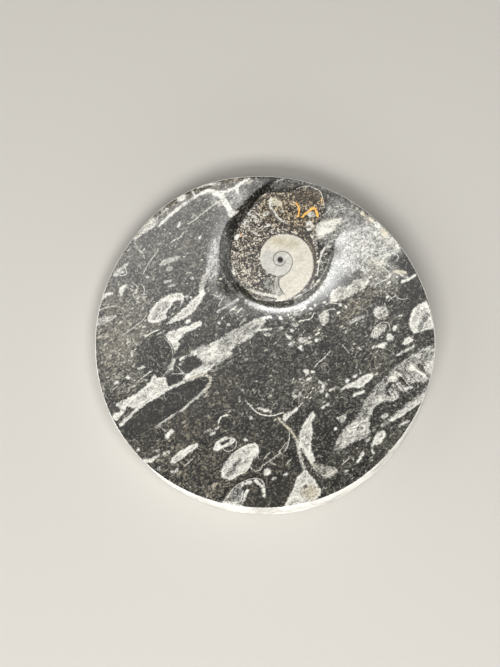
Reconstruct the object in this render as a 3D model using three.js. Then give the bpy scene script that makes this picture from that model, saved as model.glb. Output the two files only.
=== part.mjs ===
// Round fossil plate: one hand-cut slab of black fossil limestone. Its polished
// face is dished, and an ammonite stands proud of the dish with a worn bank of
// stone around its foot. The side wall is rough ground and leans outwards to a
// flat sawn underside.
//
// Millimetres. +Z points up out of the polished face, +Y runs from the middle of
// the plate to the ammonite. The origin is the middle of the underside.

import * as THREE from 'three';

// driving dimensions
const plateRadius = 59.4;
const rimHeight = 16;
const dishDepth = 5;
const mesaHeight = 15.4;
const mesaTilt = 0.018;
const mesaDome = 0.45;
const mesaDomeRadius = 20;
const arris = 0.35;
const ammonite = new THREE.Vector2(5.9, 29.6);
const directions = 120;

// How far the hand-cut edge of the polished face wanders from a true circle, as
// [degrees from +X, millimetres].
const edgeWander = [
  [0, 0.1], [25, -0.5], [48, -0.5], [70, 0], [92, 0.4], [112, 1.3], [127, 1.1], [141, 0.2],
  [180, -0.3], [212, -0.6], [232, -1.2], [250, -1.9], [270, -2.3], [300, -1.9], [322, -1.8],
  [345, -0.6],
];

// How far the foot of the side wall stands out beyond the edge above it.
const wallFlare = [
  [0, 1.1], [90, 1.2], [180, 1], [215, 1], [235, 1.8], [272, 2.5], [312, 2.1], [340, 1.6],
];

// The ammonite's mesa, by direction from the ammonite's middle: the radius of the
// foot of its flank, the width of the flank, and the height and width of the bank
// of stone that dies away into the dish outside the foot. Towards the rim the
// mesa runs straight out over the edge of the plate.
const footRadius = [
  [0, 18.2], [16, 20.2], [32, 27], [48, 33], [68, 37], [84, 33.5], [94, 30.2], [103, 27.8],
  [114, 25.6], [127, 24.3], [145, 23.4], [165, 22.2], [180, 21.4], [205, 19.9], [220, 18.1],
  [234, 17.1], [250, 16.6], [270, 16.3], [300, 15.9], [325, 16.5], [344, 17.1],
];
const flankWidth = [
  [0, 0.7], [16, 1.5], [32, 8], [48, 12], [68, 12.5], [84, 5], [94, 3.3], [103, 2.8], [114, 2.8],
  [127, 3.2], [145, 4], [165, 3.7], [180, 3.3], [225, 2.2], [270, 1.5], [305, 0.9], [335, 0.7],
];
const bankHeight = [
  [0, 1.5], [20, 1.2], [32, 0.5], [48, 0.1], [70, 0.1], [90, 0], [120, -0.1], [150, -0.25],
  [180, -0.4], [200, -0.3], [212, 0.2], [230, 0.9], [270, 0.95], [300, 1.05], [325, 1.3],
];
const bankWidth = [[0, 12], [60, 12], [120, 7], [200, 6], [270, 5], [300, 5.5], [325, 8.5]];

// Value at an angle of a closed list of [degrees, value], by a smooth curve
// through its points.
function around(points, degrees) {
  const angle = THREE.MathUtils.euclideanModulo(degrees - points[0][0], 360) + points[0][0];
  const count = points.length;
  let next = points.findIndex((point) => point[0] > angle);
  if (next < 0) next = count;
  const at = (index) => {
    const turns = Math.floor(index / count);
    const point = points[THREE.MathUtils.euclideanModulo(index, count)];
    return [point[0] + 360 * turns, point[1]];
  };
  const [before, start, end, after] = [at(next - 2), at(next - 1), at(next), at(next + 1)];
  const span = end[0] - start[0];
  const startSlope = (end[1] - before[1]) / (end[0] - before[0]);
  const endSlope = (after[1] - start[1]) / (after[0] - start[0]);
  const t = (angle - start[0]) / span;
  const rise = t * t * (3 - 2 * t);
  return start[1] + (end[1] - start[1]) * rise
    + span * (startSlope * t * (1 - t) ** 2 - endSlope * t * t * (1 - t));
}

const degreesOf = (x, y) => THREE.MathUtils.radToDeg(Math.atan2(y, x));

function edgeRadius(degrees) {
  return plateRadius + around(edgeWander, degrees);
}

// Height of the polished face.
function faceHeight(x, y) {
  const fromMiddle = Math.min(1, Math.hypot(x, y) / plateRadius);
  const dish = rimHeight - dishDepth * (1 - fromMiddle ** 2);
  const dx = x - ammonite.x;
  const dy = y - ammonite.y;
  const distance = Math.hypot(dx, dy);
  const degrees = degreesOf(dx, dy);
  const dome = mesaDome * (1 - Math.min(1, distance / mesaDomeRadius) ** 2);
  const mesa = mesaHeight + mesaTilt * dy + dome;
  const foot = around(footRadius, degrees);
  const crest = foot - around(flankWidth, degrees);
  if (distance <= crest) return mesa;
  const bank = around(bankHeight, degrees);
  const fade = THREE.MathUtils.clamp(1 - (distance - foot) / around(bankWidth, degrees), 0, 1);
  const ground = dish + bank * fade ** 2;
  if (distance >= foot) return ground;
  // a steep flank is straight, and a broad one is eased at its top and foot
  const straight = (distance - crest) / (foot - crest);
  const eased = THREE.MathUtils.smoothstep(straight, 0, 1);
  const gentle = THREE.MathUtils.clamp((foot - crest - 3) / 5, 0, 1);
  return THREE.MathUtils.lerp(mesa, ground, THREE.MathUtils.lerp(straight, eased, gentle));
}

// Distance from the ammonite's middle to the edge of the face.
function reach(direction) {
  let near = 0;
  let far = 2 * plateRadius;
  for (let step = 0; step < 40; step += 1) {
    const middle = (near + far) / 2;
    const x = ammonite.x + middle * direction.x;
    const y = ammonite.y + middle * direction.y;
    if (Math.hypot(x, y) < edgeRadius(degreesOf(x, y))) near = middle;
    else far = middle;
  }
  return near;
}

// One spoke of points, from near the ammonite's middle out to the edge of the
// face, over the arris, down the wall and under to the underside.
function spoke(degrees) {
  const angle = THREE.MathUtils.degToRad(degrees);
  const direction = new THREE.Vector2(Math.cos(angle), Math.sin(angle));
  const edge = reach(direction);
  const foot = Math.min(around(footRadius, degrees), 0.94 * edge);
  const crest = Math.min(foot - around(flankWidth, degrees), 0.9 * edge);
  const outward = [0.04, 0.09, 0.15, 0.23, 0.32, 0.42, 0.53, 0.65, 0.77, 0.89, 1];
  const middle = (crest + foot) / 2;
  const radii = [0.3 * crest, 0.65 * crest, crest, middle, foot];
  outward.forEach((part) => radii.push(foot + (edge - foot) * part));
  const points = radii.map((radius) => {
    const x = ammonite.x + radius * direction.x;
    const y = ammonite.y + radius * direction.y;
    return new THREE.Vector3(x, y, faceHeight(x, y));
  });
  const rim = points[points.length - 1];
  const around360 = degreesOf(rim.x, rim.y);
  const outwards = new THREE.Vector3(rim.x, rim.y, 0).normalize();
  const flare = around(wallFlare, around360);
  const wall = (out, height) => rim.clone().addScaledVector(outwards, out).setZ(height);
  points.push(wall(arris, rim.z - arris));
  points.push(wall(flare, arris));
  points.push(wall(flare - arris, 0));
  return points;
}

function slabGeometry() {
  const spokes = [];
  for (let index = 0; index < directions; index += 1) {
    spokes.push(spoke(360 * index / directions));
  }
  const rings = spokes[0].length;
  const positions = [];
  spokes.flat().forEach((point) => positions.push(point.x, point.y, point.z));
  const top = positions.length / 3;
  positions.push(ammonite.x, ammonite.y, faceHeight(ammonite.x, ammonite.y));
  const bottom = top + 1;
  positions.push(0, 0, 0);
  const triangles = [];
  for (let index = 0; index < directions; index += 1) {
    const here = index * rings;
    const next = ((index + 1) % directions) * rings;
    triangles.push(top, here, next);
    for (let ring = 0; ring < rings - 1; ring += 1) {
      triangles.push(here + ring, here + ring + 1, next + ring + 1);
      triangles.push(here + ring, next + ring + 1, next + ring);
    }
    triangles.push(bottom, next + rings - 1, here + rings - 1);
  }
  const geometry = new THREE.BufferGeometry();
  geometry.setAttribute('position', new THREE.Float32BufferAttribute(positions, 3));
  geometry.setIndex(triangles);
  geometry.computeBoundingBox();
  const middle = geometry.boundingBox.getCenter(new THREE.Vector3());
  geometry.translate(-middle.x, -middle.y, 0);
  geometry.computeVertexNormals();
  return geometry;
}

const polishedBlackLimestone = new THREE.MeshStandardMaterial({
  color: 0x4a4844,
  roughness: 0.3,
  metalness: 0,
});

const plate = new THREE.Mesh(slabGeometry(), polishedBlackLimestone);
plate.name = 'fossil_plate';

const group = new THREE.Group();
group.add(plate);

export default group;
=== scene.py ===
import math

import bmesh
import bpy
import numpy as np
from mathutils import Matrix, Vector


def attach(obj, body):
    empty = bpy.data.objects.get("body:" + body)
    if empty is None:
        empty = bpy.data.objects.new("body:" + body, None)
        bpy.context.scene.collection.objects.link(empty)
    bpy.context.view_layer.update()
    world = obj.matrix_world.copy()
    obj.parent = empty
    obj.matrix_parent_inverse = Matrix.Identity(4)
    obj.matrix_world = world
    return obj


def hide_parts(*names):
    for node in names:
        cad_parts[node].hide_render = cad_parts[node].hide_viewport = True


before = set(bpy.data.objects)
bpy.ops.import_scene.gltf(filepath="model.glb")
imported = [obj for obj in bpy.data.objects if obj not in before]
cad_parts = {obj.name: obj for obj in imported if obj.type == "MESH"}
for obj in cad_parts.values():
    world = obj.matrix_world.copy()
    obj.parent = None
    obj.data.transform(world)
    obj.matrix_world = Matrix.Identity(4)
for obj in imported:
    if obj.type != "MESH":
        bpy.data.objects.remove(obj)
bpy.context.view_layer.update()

print("frame loaded")

# Round fossil plate: a hand-cut slab of black fossil limestone with a dished,
# polished face and an ammonite standing proud of it. Every length below is in
# millimetres, +Y running from the middle of the plate to the ammonite, and the
# mesh is scaled to metres when it is made.

plate = {
    "radius": 59.4,
    "rimHeight": 16.0,
    "dishDepth": 5.0,
    "mesaHeight": 15.4,          # flat top that the ammonite lies in
    "mesaTilt": 0.018,
    "mesaDome": 0.45,
    "mesaDomeRadius": 20.0,
    "arris": 0.35,               # the sharp corners, eased with a stone
    "ammonite": (5.9, 29.6),
    "rows": 290,                 # grid rows across the face, about 0.4 mm each
    "wallSteps": 9,
    # how far the hand-cut edge wanders from a circle: (degrees from +X, mm)
    "edgeWander": [
        (0, 0.1), (25, -0.5), (48, -0.5), (70, 0), (92, 0.4), (112, 1.3), (127, 1.1), (141, 0.2),
        (180, -0.3), (212, -0.6), (232, -1.2), (250, -1.9), (270, -2.3), (300, -1.9), (322, -1.8),
        (345, -0.6),
    ],
    # how far the wall's foot stands out beyond its top
    "wallFlare": [
        (0, 1.1), (90, 1.2), (180, 1), (215, 1), (235, 1.8), (272, 2.5), (312, 2.1), (340, 1.6),
    ],
    # by direction from the ammonite: foot and width of the mesa's flank, then the
    # height and width of the worn bank outside it
    "footRadius": [
        (0, 18.2), (16, 20.2), (32, 27), (48, 33), (68, 37), (84, 33.5), (94, 30.2), (103, 27.8),
        (114, 25.6), (127, 24.3), (145, 23.4), (165, 22.2), (180, 21.4), (205, 19.9), (220, 18.1),
        (234, 17.1), (250, 16.6), (270, 16.3), (300, 15.9), (325, 16.5), (344, 17.1),
    ],
    "flankWidth": [
        (0, 0.7), (16, 1.5), (32, 8), (48, 12), (68, 12.5), (84, 5), (94, 3.3), (103, 2.8), (114, 2.8),
        (127, 3.2), (145, 4), (165, 3.7), (180, 3.3), (225, 2.2), (270, 1.5), (305, 0.9), (335, 0.7),
    ],
    "bankHeight": [
        (0, 1.5), (20, 1.2), (32, 0.5), (48, 0.1), (70, 0.1), (90, 0), (120, -0.1), (150, -0.25),
        (180, -0.4), (200, -0.3), (212, 0.2), (230, 0.9), (270, 0.95), (300, 1.05), (325, 1.3),
    ],
    "bankWidth": [(0, 12), (60, 12), (120, 7), (200, 6), (270, 5), (300, 5.5), (325, 8.5)],
}


def around(points, degrees):
    # value at an angle of a closed list of (degrees, value), by a smooth curve
    listed = np.array(points, float)
    angles = np.concatenate([listed[-2:, 0] - 360, listed[:, 0], listed[:2, 0] + 360])
    values = np.concatenate([listed[-2:, 1], listed[:, 1], listed[:2, 1]])
    angle = np.mod(np.asarray(degrees, float) - listed[0, 0], 360) + listed[0, 0]
    nextOne = np.clip(np.searchsorted(angles, angle, side="right"), 2, len(angles) - 2)
    a0, a1, a2, a3 = (angles[nextOne + step] for step in (-2, -1, 0, 1))
    v0, v1, v2, v3 = (values[nextOne + step] for step in (-2, -1, 0, 1))
    span = a2 - a1
    startSlope = (v2 - v0) / (a2 - a0)
    endSlope = (v3 - v1) / (a3 - a1)
    t = (angle - a1) / span
    rise = t * t * (3 - 2 * t)
    return v1 + (v2 - v1) * rise + span * (startSlope * t * (1 - t) ** 2 - endSlope * t * t * (1 - t))


def faceHeight(x, y):
    # the dish, the ammonite's mesa with its flank, and the worn bank outside it
    fromMiddle = np.minimum(1, np.hypot(x, y) / plate["radius"])
    dish = plate["rimHeight"] - plate["dishDepth"] * (1 - fromMiddle ** 2)
    dx = x - plate["ammonite"][0]
    dy = y - plate["ammonite"][1]
    distance = np.hypot(dx, dy)
    degrees = np.degrees(np.arctan2(dy, dx))
    dome = plate["mesaDome"] * (1 - np.minimum(1, distance / plate["mesaDomeRadius"]) ** 2)
    mesa = plate["mesaHeight"] + plate["mesaTilt"] * dy + dome
    foot = around(plate["footRadius"], degrees)
    crest = foot - around(plate["flankWidth"], degrees)
    fade = np.clip(1 - (distance - foot) / around(plate["bankWidth"], degrees), 0, 1)
    ground = dish + around(plate["bankHeight"], degrees) * fade ** 2
    down = np.clip((distance - crest) / (foot - crest), 0, 1)
    gentle = np.clip((foot - crest - 3) / 5, 0, 1)
    down = down + (down * down * (3 - 2 * down) - down) * gentle
    return mesa + (ground - mesa) * down


def edgeRadius(degrees):
    return plate["radius"] + around(plate["edgeWander"], degrees)


def makeStone():
    # a square grid is drawn out into the round face, so the rows stay even
    stone = bmesh.new()
    bmesh.ops.create_grid(stone, x_segments=plate["rows"], y_segments=plate["rows"], size=1)
    square = np.array([(vert.co.x, vert.co.y) for vert in stone.verts])
    across, along = square[:, 0], square[:, 1]
    wide = np.abs(across) >= np.abs(along)
    longer = np.where(wide, across, along)
    shorter = np.where(wide, along, across)
    turn = np.pi / 4 * shorter / np.where(longer == 0, 1, longer)
    degrees = np.degrees(np.where(wide, turn, np.pi / 2 - turn) + np.where(longer < 0, np.pi, 0))
    radius = np.abs(longer) * edgeRadius(degrees)
    x = radius * np.cos(np.radians(degrees))
    y = radius * np.sin(np.radians(degrees))
    for vert, place in zip(stone.verts, zip(x, y, faceHeight(x, y))):
        vert.co = place
    for face in stone.faces:
        face.smooth = True
    print("face drawn:", len(stone.verts), "points")

    # the rim is extruded over the arris and down the wall to the underside
    ring = [edge for edge in stone.edges if edge.is_boundary]
    rimOf = {}
    for edge in ring:
        edge.smooth = False
        for vert in edge.verts:
            rimOf[vert] = vert.co.copy()
    wallSteps = [(None, index / plate["wallSteps"], False) for index in range(1, plate["wallSteps"] + 1)]
    for out, down, sharp in [(plate["arris"], None, True), *wallSteps, (-plate["arris"], 1, True)]:
        grown = bmesh.ops.extrude_edge_only(stone, edges=ring)["geom"]
        ring = [item for item in grown if isinstance(item, bmesh.types.BMEdge) and item.is_boundary]
        nextRim = {}
        for vert in {vert for edge in ring for vert in edge.verts}:
            below = next(edge.other_vert(vert) for edge in vert.link_edges if edge.other_vert(vert) in rimOf)
            rim = rimOf[below]
            nextRim[vert] = rim
            outwards = Vector((rim.x, rim.y, 0)).normalized()
            flare = float(around(plate["wallFlare"], math.degrees(math.atan2(rim.y, rim.x))))
            top = rim.z - plate["arris"]
            if down is None:
                vert.co = rim + outwards * out
                vert.co.z = top
            elif out is None:
                vert.co = rim + outwards * (plate["arris"] + (flare - plate["arris"]) * down)
                vert.co.z = top + (plate["arris"] - top) * down
            else:
                vert.co = rim + outwards * (flare + out)
                vert.co.z = 0
        if sharp:
            for edge in ring:
                edge.smooth = False
        rimOf = nextRim
    bmesh.ops.contextual_create(stone, geom=ring)
    bmesh.ops.recalc_face_normals(stone, faces=stone.faces)
    print("wall and underside made:", len(stone.faces), "faces")
    return stone


# What the polished cut shows, as shapes in millimetres on the drawing of the
# face, each row a kind, a tone and its shapes: an "oval" is x, y, half length,
# half width, degrees; a "band" is a width, or one for each point, and its
# points; a "body" is the points of a closed outline. Each is laid over those
# before it, and "matrix" or "mud" cuts the shells back to black or brown mud.
fossils = [
    # upper left: the long broken shell wall and its branches
    ("band", "white", [
        ([0.5, 0.9, 1.1, 1, 0.7, 0.7, 1.2, 1.4, 1.3, 1.1, 1.1, 1.2, 0.8], [(-37.5, 42.1), (-35.8, 43.9),
            (-32.8, 46.9), (-29.2, 49.6), (-25.6, 52), (-23.6, 53.2), (-21.6, 54.4), (-19.4, 55),
            (-16.1, 54.2), (-13, 54.7), (-9.9, 56.1), (-7.6, 57.8), (-5, 59.2)])]),
    ("body", "white", [
        [(-18, 54.8), (-14.9, 54.2), (-12.6, 51.6), (-11.6, 49), (-10.4, 47.4), (-8.8, 48.3), (-9.4, 47),
         (-11, 45.6), (-12.6, 45.9), (-13.4, 48.4), (-14.6, 51), (-16, 52.9), (-18.6, 53.6)],
        [(-10.6, 56.2), (-9.2, 56.6), (-8.6, 54.6), (-8.8, 52.6), (-9.8, 54)],
        [(-31.5, 52), (-29.5, 53.5), (-27.8, 53.8), (-27.5, 52.2), (-28.9, 51.5), (-30.7, 51)],
        [(-51.2, 17.5), (-51.5, 19.3), (-50.9, 20.6), (-49.8, 21.3), (-48.3, 21.3), (-49.3, 20.3),
         (-49.8, 19.3), (-49.8, 18.2), (-50.4, 17)]]),
    ("band", "pale", [(1, [(-21, 57), (-18.5, 57.6), (-15.5, 57.6)])]),
    ("body", "chalky", [
        [(-46.9, 36.6), (-45.2, 39.3), (-42.8, 42.2), (-40.2, 45.2), (-37.6, 46), (-37.6, 43.4),
         (-39.3, 41.9), (-42.8, 39.5), (-45.8, 36.8)]]),
    ("band", "pale", [(0.5, [(-38.5, 45), (-36.5, 46.7), (-34.5, 48)])]),
    ("band", "white", [
        ([0.9, 1, 0.6], [(-23.5, 56.3), (-20.5, 57.4), (-17, 57.2)]),
        (0.6, [(-26, 55.8), (-24.9, 54), (-24.2, 52.6)])]),
    ("oval", "cream", [(-39.4, 48.2, 0.7, 0.4, 40), (-42.5, 44.7, 0.6, 0.4, 50)]),
    ("oval", "pale", [(-31, 54.6, 0.6, 0.4, 30), (-36, 49, 0.9, 0.5, 40), (-34.5, 48.5, 0.7, 0.5, 20),
        (-33.6, 27.3, 1, 0.9, 30)]),
    ("oval", "white", [(-26, 55.9, 0.9, 0.5, 30), (-20.5, 57.9, 1.3, 0.6, 15), (-41.3, 24.2, 0.4, 0.5, 60),
        (-30.2, 43, 1, 0.35, 70), (-22.8, 38.3, 0.9, 0.4, 60), (-25.5, 23.8, 0.5, 0.5, 0)]),
    ("body", "pale", [
        [(-37.8, 28.4), (-35.8, 30.3), (-32.8, 31.5), (-29.8, 31.9), (-30.4, 30.7), (-32.8, 29.5),
         (-35.8, 28.3)]]),
    ("oval", "matrix", [(-33.6, 27.3, 0.45, 0.35, 30)]),
    ("band", "pale", [
        (0.6, [(-35.5, 22.4), (-33, 22.8)]),
        (0.6, [(-34, 20.8), (-32.3, 21.5)]),
        ([1.6, 2, 2, 1.4], [(-22.3, 18.8), (-22, 22), (-20.8, 24.5), (-19, 27)])]),
    ("body", "streaky", [
        [(-53.6, 24.2), (-52.9, 26.4), (-50.9, 27.7), (-48.7, 29.2), (-47.8, 28.9), (-49.4, 27),
         (-50.6, 26.2), (-48.8, 26), (-50.6, 25), (-52.2, 24.1)]]),
    # left: ring, sliver, T-shape and the round dark pebble beside it
    ("band", "white", [([1.6, 1.3, 0.9], [(-58.2, 15.3), (-57, 17.2), (-53.8, 18.1)])]),
    ("body", "pale", [
        [(-59.6, 8.9), (-56.5, 9.6), (-53, 10.5), (-51.8, 10), (-53.2, 8.7), (-56.3, 7.2), (-59.6, 6.3)]]),
    ("oval", "white", [(-34.9, 13.2, 7.7, 3.3, 38)]),
    ("body", "matrix", [
        [(-35.6, 10.4), (-34.3, 12), (-33, 14.2), (-31.2, 16), (-29.9, 16.2), (-29.2, 15), (-30, 13.2),
         (-31.6, 11.4), (-33.3, 9.9)]]),
    ("oval", "grey", [(-38.9, 9.9, 0.6, 0.2, 60)]),
    ("oval", "streaky", [(-36.4, 13.2, 2.4, 0.9, 42)]),
    ("band", "white", [
        ([0.3, 1.5, 2.6, 3.2, 3.2, 2.4, 1.2], [(-34.3, 7.5), (-32, 8.9), (-30, 10.1), (-27.5, 11.8),
            (-25.5, 13.8), (-23.5, 16.3), (-21.3, 18.8)])]),
    ("oval", "white", [(-27, 8.6, 1, 0.7, 20), (-26, 17, 0.5, 0.4, 0), (-27.4, 17.2, 0.5, 0.3, 0),
        (-51.8, -13.7, 0.9, 0.5, 40), (-47.8, -11.8, 0.6, 0.6, 0)]),
    ("body", "white", [
        [(-35.2, 3.2), (-33.8, 4.7), (-30.2, 5.6), (-25, 7.7), (-22.2, 8.7), (-22.2, 6.7), (-25.2, 5.6),
         (-28.2, 4.3), (-29, 2.6), (-30.8, 1.6), (-29.6, 0.2), (-31.2, -1.6), (-31.5, -3.3), (-32.2, -1.4),
         (-33, 0.6), (-34.4, 2.2)]]),
    ("band", "streaky", [([0.9, 1.8, 1.3, 0.7], [(-34, -9.8), (-33.2, -8.2), (-32.2, -6.6), (-31.6, -5)])]),
    ("oval", "pale", [(-29.5, -7, 0.5, 0.4, 0), (-43.3, -8.3, 1.2, 0.5, 20)]),
    ("band", "white", [(0.8, [(-29.7, -5.2), (-28, -4.4), (-26, -3.3)])]),
    ("band", "pale", [(0.6, [(-47, -2.5), (-46.3, -4.3)])]),
    # the white band that crosses from the lower left edge
    ("body", "white", [
        [(-50, -20.3), (-48.1, -19.2), (-45.2, -17.6), (-42.5, -16), (-41.5, -14.5), (-39.5, -12.8),
         (-38.9, -10.2), (-37.9, -11.6), (-37.3, -12.2), (-34.7, -11), (-34.2, -14.4), (-33, -15.2),
         (-31, -13.9), (-28.4, -12.7), (-27.8, -10.8), (-25, -9), (-22, -7.4), (-20, -5), (-18, -3.6),
         (-16.5, -5), (-18, -8), (-20.5, -10), (-24, -10.9), (-27.5, -12.7), (-30.5, -14.2), (-35, -16.4),
         (-38.5, -18.5), (-43, -21.2), (-46.5, -23), (-48, -21.5)],
        [(-53.3, -25.2), (-52, -24.3), (-50.3, -24), (-50.5, -21.5), (-47.5, -19), (-46.5, -19.3),
         (-48, -21.5), (-48.8, -24), (-50.5, -25.8), (-51.7, -27.5)]]),
    ("band", "white", [(0.7, [(-51.5, -21.5), (-50, -20.5)])]),
    ("oval", "white", [(-43.5, -22, 0.9, 0.6, 30)]),
    ("body", "streaky", [
        [(-28.5, -4.6), (-25.5, -2.2), (-21.6, -0.2), (-18.6, 0.6), (-13.9, 3.6), (-11, 5.4), (-7.8, 6.3),
         (-5.5, 8.2), (-3.1, 9.4), (0, 10.2), (0.6, 8.6), (-0.4, 6.8), (-2.5, 4.5), (-4.5, 2.6),
         (-7.8, 0.9), (-10.9, -0.9), (-12.2, -2.8), (-13.4, -4.6), (-15.5, -6), (-18.5, -6.3),
         (-20.5, -7.6), (-22.3, -7.4), (-22.3, -5.4), (-24.6, -3.4), (-26, -4)]]),
    ("band", "pale", [(1, [(-16.8, -7), (-14.5, -5), (-11.8, -3.2)])]),
    # the straight shell below it
    ("band", "white", [
        ([1, 0.9, 0.9, 0.8, 0.8, 0.9, 1, 1], [(-50, -28.5), (-47.5, -26), (-45, -23.5), (-42.5, -21.3),
            (-40, -20), (-35, -16.4), (-27.5, -12.7), (-20.5, -10)])]),
    ("band", "chalky", [
        ([0.35, 0.4, 0.7, 1, 1.2, 1, 0.7, 0.45, 0.35, 0.3], [(-27.7, -13), (-22.3, -11), (-19.3, -10.9),
            (-18.7, -12.9), (-20, -15.4), (-22.7, -18.1), (-25.3, -20.1), (-28.3, -22.8), (-32.1, -25.5),
            (-38, -29.7)])]),
    # lower left
    ("body", "white", [
        [(-34.7, -33.2), (-34, -31.5), (-33.2, -30.3), (-32.3, -29.8), (-31.3, -30.9), (-32.5, -32),
         (-33.3, -33.6)],
        [(-33.3, -42), (-31.8, -39.9), (-29.5, -38), (-26.5, -36), (-23.4, -34.7), (-23.2, -35.8),
         (-25, -37.6), (-27.6, -39.8), (-30.4, -41.6)]]),
    ("band", "pale", [
        (0.4, [(-36, -29.3), (-34.5, -30.5)]),
        (0.5, [(-32, -44.8), (-30.5, -45), (-29.8, -43)]),
        (0.6, [(-21, -31), (-17, -29.8), (-16.2, -29.3)])]),
    ("oval", "white", [(-34.8, -38.6, 0.6, 0.35, 30), (-43.7, -37.2, 0.5, 0.4, 0)]),
    ("oval", "pale", [(-33.2, -38, 0.4, 0.5, 0)]),
    ("band", "white", [
        ([1.8, 1.2, 0.8, 0.4], [(-41.5, -41.3), (-39, -41), (-37.5, -39.8), (-36.5, -39.1)])]),
    ("oval", "pale", [(-37, -37.7, 0.7, 0.5, 30), (-36.5, -43.8, 0.7, 0.4, 30),
        (-18.2, -31.5, 1.2, 0.5, 30)]),
    # bottom middle
    ("body", "white", [
        [(-17.9, -37.4), (-17.3, -35.2), (-15.3, -33.3), (-12.5, -32.6), (-9.6, -33.3), (-10.6, -34.9),
         (-13.2, -36.2), (-16, -37.4)]]),
    ("oval", "matrix", [(-13.6, -34.5, 1.9, 0.65, 25)]),
    ("oval", "white", [(-4.7, -25.9, 0.5, 0.5, 0), (-6.3, -33.7, 0.5, 0.5, 0), (1.1, -45, 1.4, 1.05, 70)]),
    ("body", "white", [
        [(-5, -35), (-3, -34.9), (-1.8, -36), (-1.6, -38), (-2.8, -39.5), (-4, -40.8), (-4.8, -43),
         (-7, -45), (-9.5, -46.3), (-11.2, -48), (-13, -47.2), (-14.8, -46.8), (-14.9, -44.5),
         (-13.5, -41.5), (-11, -38.5), (-8, -36.2)]]),
    ("band", "white", [
        (0.5, [(3, -47.5), (4, -47)]),
        (0.5, [(7, -46), (8, -45.6)]),
        ([1.1, 1.2, 1], [(-10.5, -51.8), (-7, -49), (-4.5, -48.3)]),
        (0.9, [(-3, -48), (-0.3, -50), (0.1, -53.2)])]),
    ("body", "grey", [
        [(-13.8, -55.3), (-12.3, -53.2), (-10.8, -51.3), (-8.9, -49.6), (-7.3, -50.6), (-7, -53),
         (-8, -56)]]),
    ("band", "white", [
        (0.8, [(-7.5, -56), (-6.8, -53.5), (-5.8, -51.5)]),
        (0.9, [(-14, -55.5), (-11, -56.2), (-8, -56.5)])]),
    ("band", "cream", [
        ([0.6, 0.7, 0.8, 0.8, 0.8, 0.8, 0.8, 0.8, 0.8, 0.8, 0.9], [(5, -26), (6.5, -27.7), (8.5, -29.8),
            (10, -31.3), (11, -33.5), (12.2, -35.2), (14, -37.5), (15.5, -40), (17, -42.7), (18.5, -44.7),
            (20.5, -46)])]),
    ("band", "pale", [(1.2, [(11.8, -35.5), (12.2, -37.5), (12.8, -40), (13.8, -43.5)])]),
    ("body", "white", [
        [(6.3, -24.8), (8.5, -24.2), (10.5, -23), (11.7, -22.3), (11.8, -23.3), (10, -24.7), (8.3, -26),
         (7, -28)],
        [(-3.3, -22.5), (-1, -22.3), (1.5, -22.8), (3.2, -24.2), (1, -24), (-1.5, -23.3)],
        [(16.9, -23.6), (15, -26.5), (13.3, -29), (12.4, -31.5), (12.2, -34), (13, -36), (14.3, -38),
         (15.3, -39.7), (16.5, -41.5), (18, -41.3), (17.2, -39.5), (16.4, -37), (16.2, -34.5), (16.9, -32),
         (16.8, -30), (16.4, -28), (17.4, -26), (17.9, -24.6)],
        [(14, -43.7), (12.7, -46), (11.5, -46.5), (11, -49), (10, -51), (8.5, -54), (6.8, -57.2),
         (12, -56.8), (16.8, -55.2), (19.5, -53), (20, -51.5), (18.5, -49.5), (17, -47), (15.5, -45.3)]]),
    ("body", "speckled", [
        [(17, -42), (19.5, -42), (22, -43), (25, -43.5), (25.5, -45), (23, -47), (20, -47),
         (18.5, -44.7)]]),
    ("oval", "matrix", [(14.3, -50, 0.7, 0.5, 40)]),
    # middle
    ("band", "pale", [([0.5, 0.7, 0.8], [(-16.7, 11.7), (-13, 14), (-9.3, 16.2)])]),
    ("oval", "white", [(-16, 8, 0.6, 0.5, 0), (-12.5, 7.2, 0.4, 0.3, 0), (6.2, 5.9, 0.8, 0.4, 0),
        (14.7, -9.5, 0.9, 0.5, 20), (17.3, -9.8, 0.7, 0.4, 0), (15.7, -12.3, 0.9, 0.4, 30),
        (16.6, 12.6, 0.6, 0.4, 0), (18.2, 14, 0.6, 0.4, 0)]),
    ("band", "white", [
        (0.9, [(0.3, 9.8), (2.5, 9.8)]),
        (0.7, [(-1.5, 5.2), (2.5, 5.6)]),
        (0.8, [(19.5, -13.3), (20.8, -14.3), (20.8, -15.8), (19.8, -17)])]),
    ("body", "white", [
        [(4.9, 10.5), (6.8, 9.5), (6, 8.5)],
        [(7.7, 3.4), (9.3, 3.1), (10.8, 2), (8.2, 1.9)]]),
    ("body", "pale", [
        [(-0.7, 3.2), (1.4, 5), (3, 3.4)],
        [(9.2, 7.2), (10.5, 6.3), (12, 6.3), (12.2, 8)]]),
    ("oval", "pale", [(10, 4.9, 0.8, 0.5, 0), (13.3, 1.5, 1.3, 1.1, 0), (9.5, 0, 0.8, 0.6, 0),
        (11.2, 11, 0.8, 0.6, 0), (13.5, 13, 1.5, 0.9, 20), (11.5, -17.5, 1.6, 1.5, 0)]),
    ("body", "white", [[(11.9, -1), (13.5, 0.2), (14, -2.5), (13, -2.2)]]),
    ("oval", "white", [(16.2, 2.2, 0.6, 0.5, 0), (18.6, 1.3, 0.6, 0.5, 0), (22, -18, 0.9, 0.5, 90)]),
    ("oval", "matrix", [(11.5, -17.5, 0.8, 0.7, 0)]),
    # right
    ("body", "chalky", [
        [(23, 14.6), (23.4, 17.4), (24.8, 19.4), (27.2, 20.6), (29.7, 20.4), (32, 22), (34.7, 23.2),
         (37, 23.6), (37.6, 21.4), (35.2, 19.3), (32.3, 18), (29.6, 16.3), (26.6, 15)]]),
    ("body", "streaky", [
        [(40.5, 38), (42.4, 39.5), (44.9, 37.8), (47.2, 35.3), (49, 32.3), (45.3, 32.4), (42.7, 34.2),
         (40.9, 35.7)]]),
    ("body", "speckled", [
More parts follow.
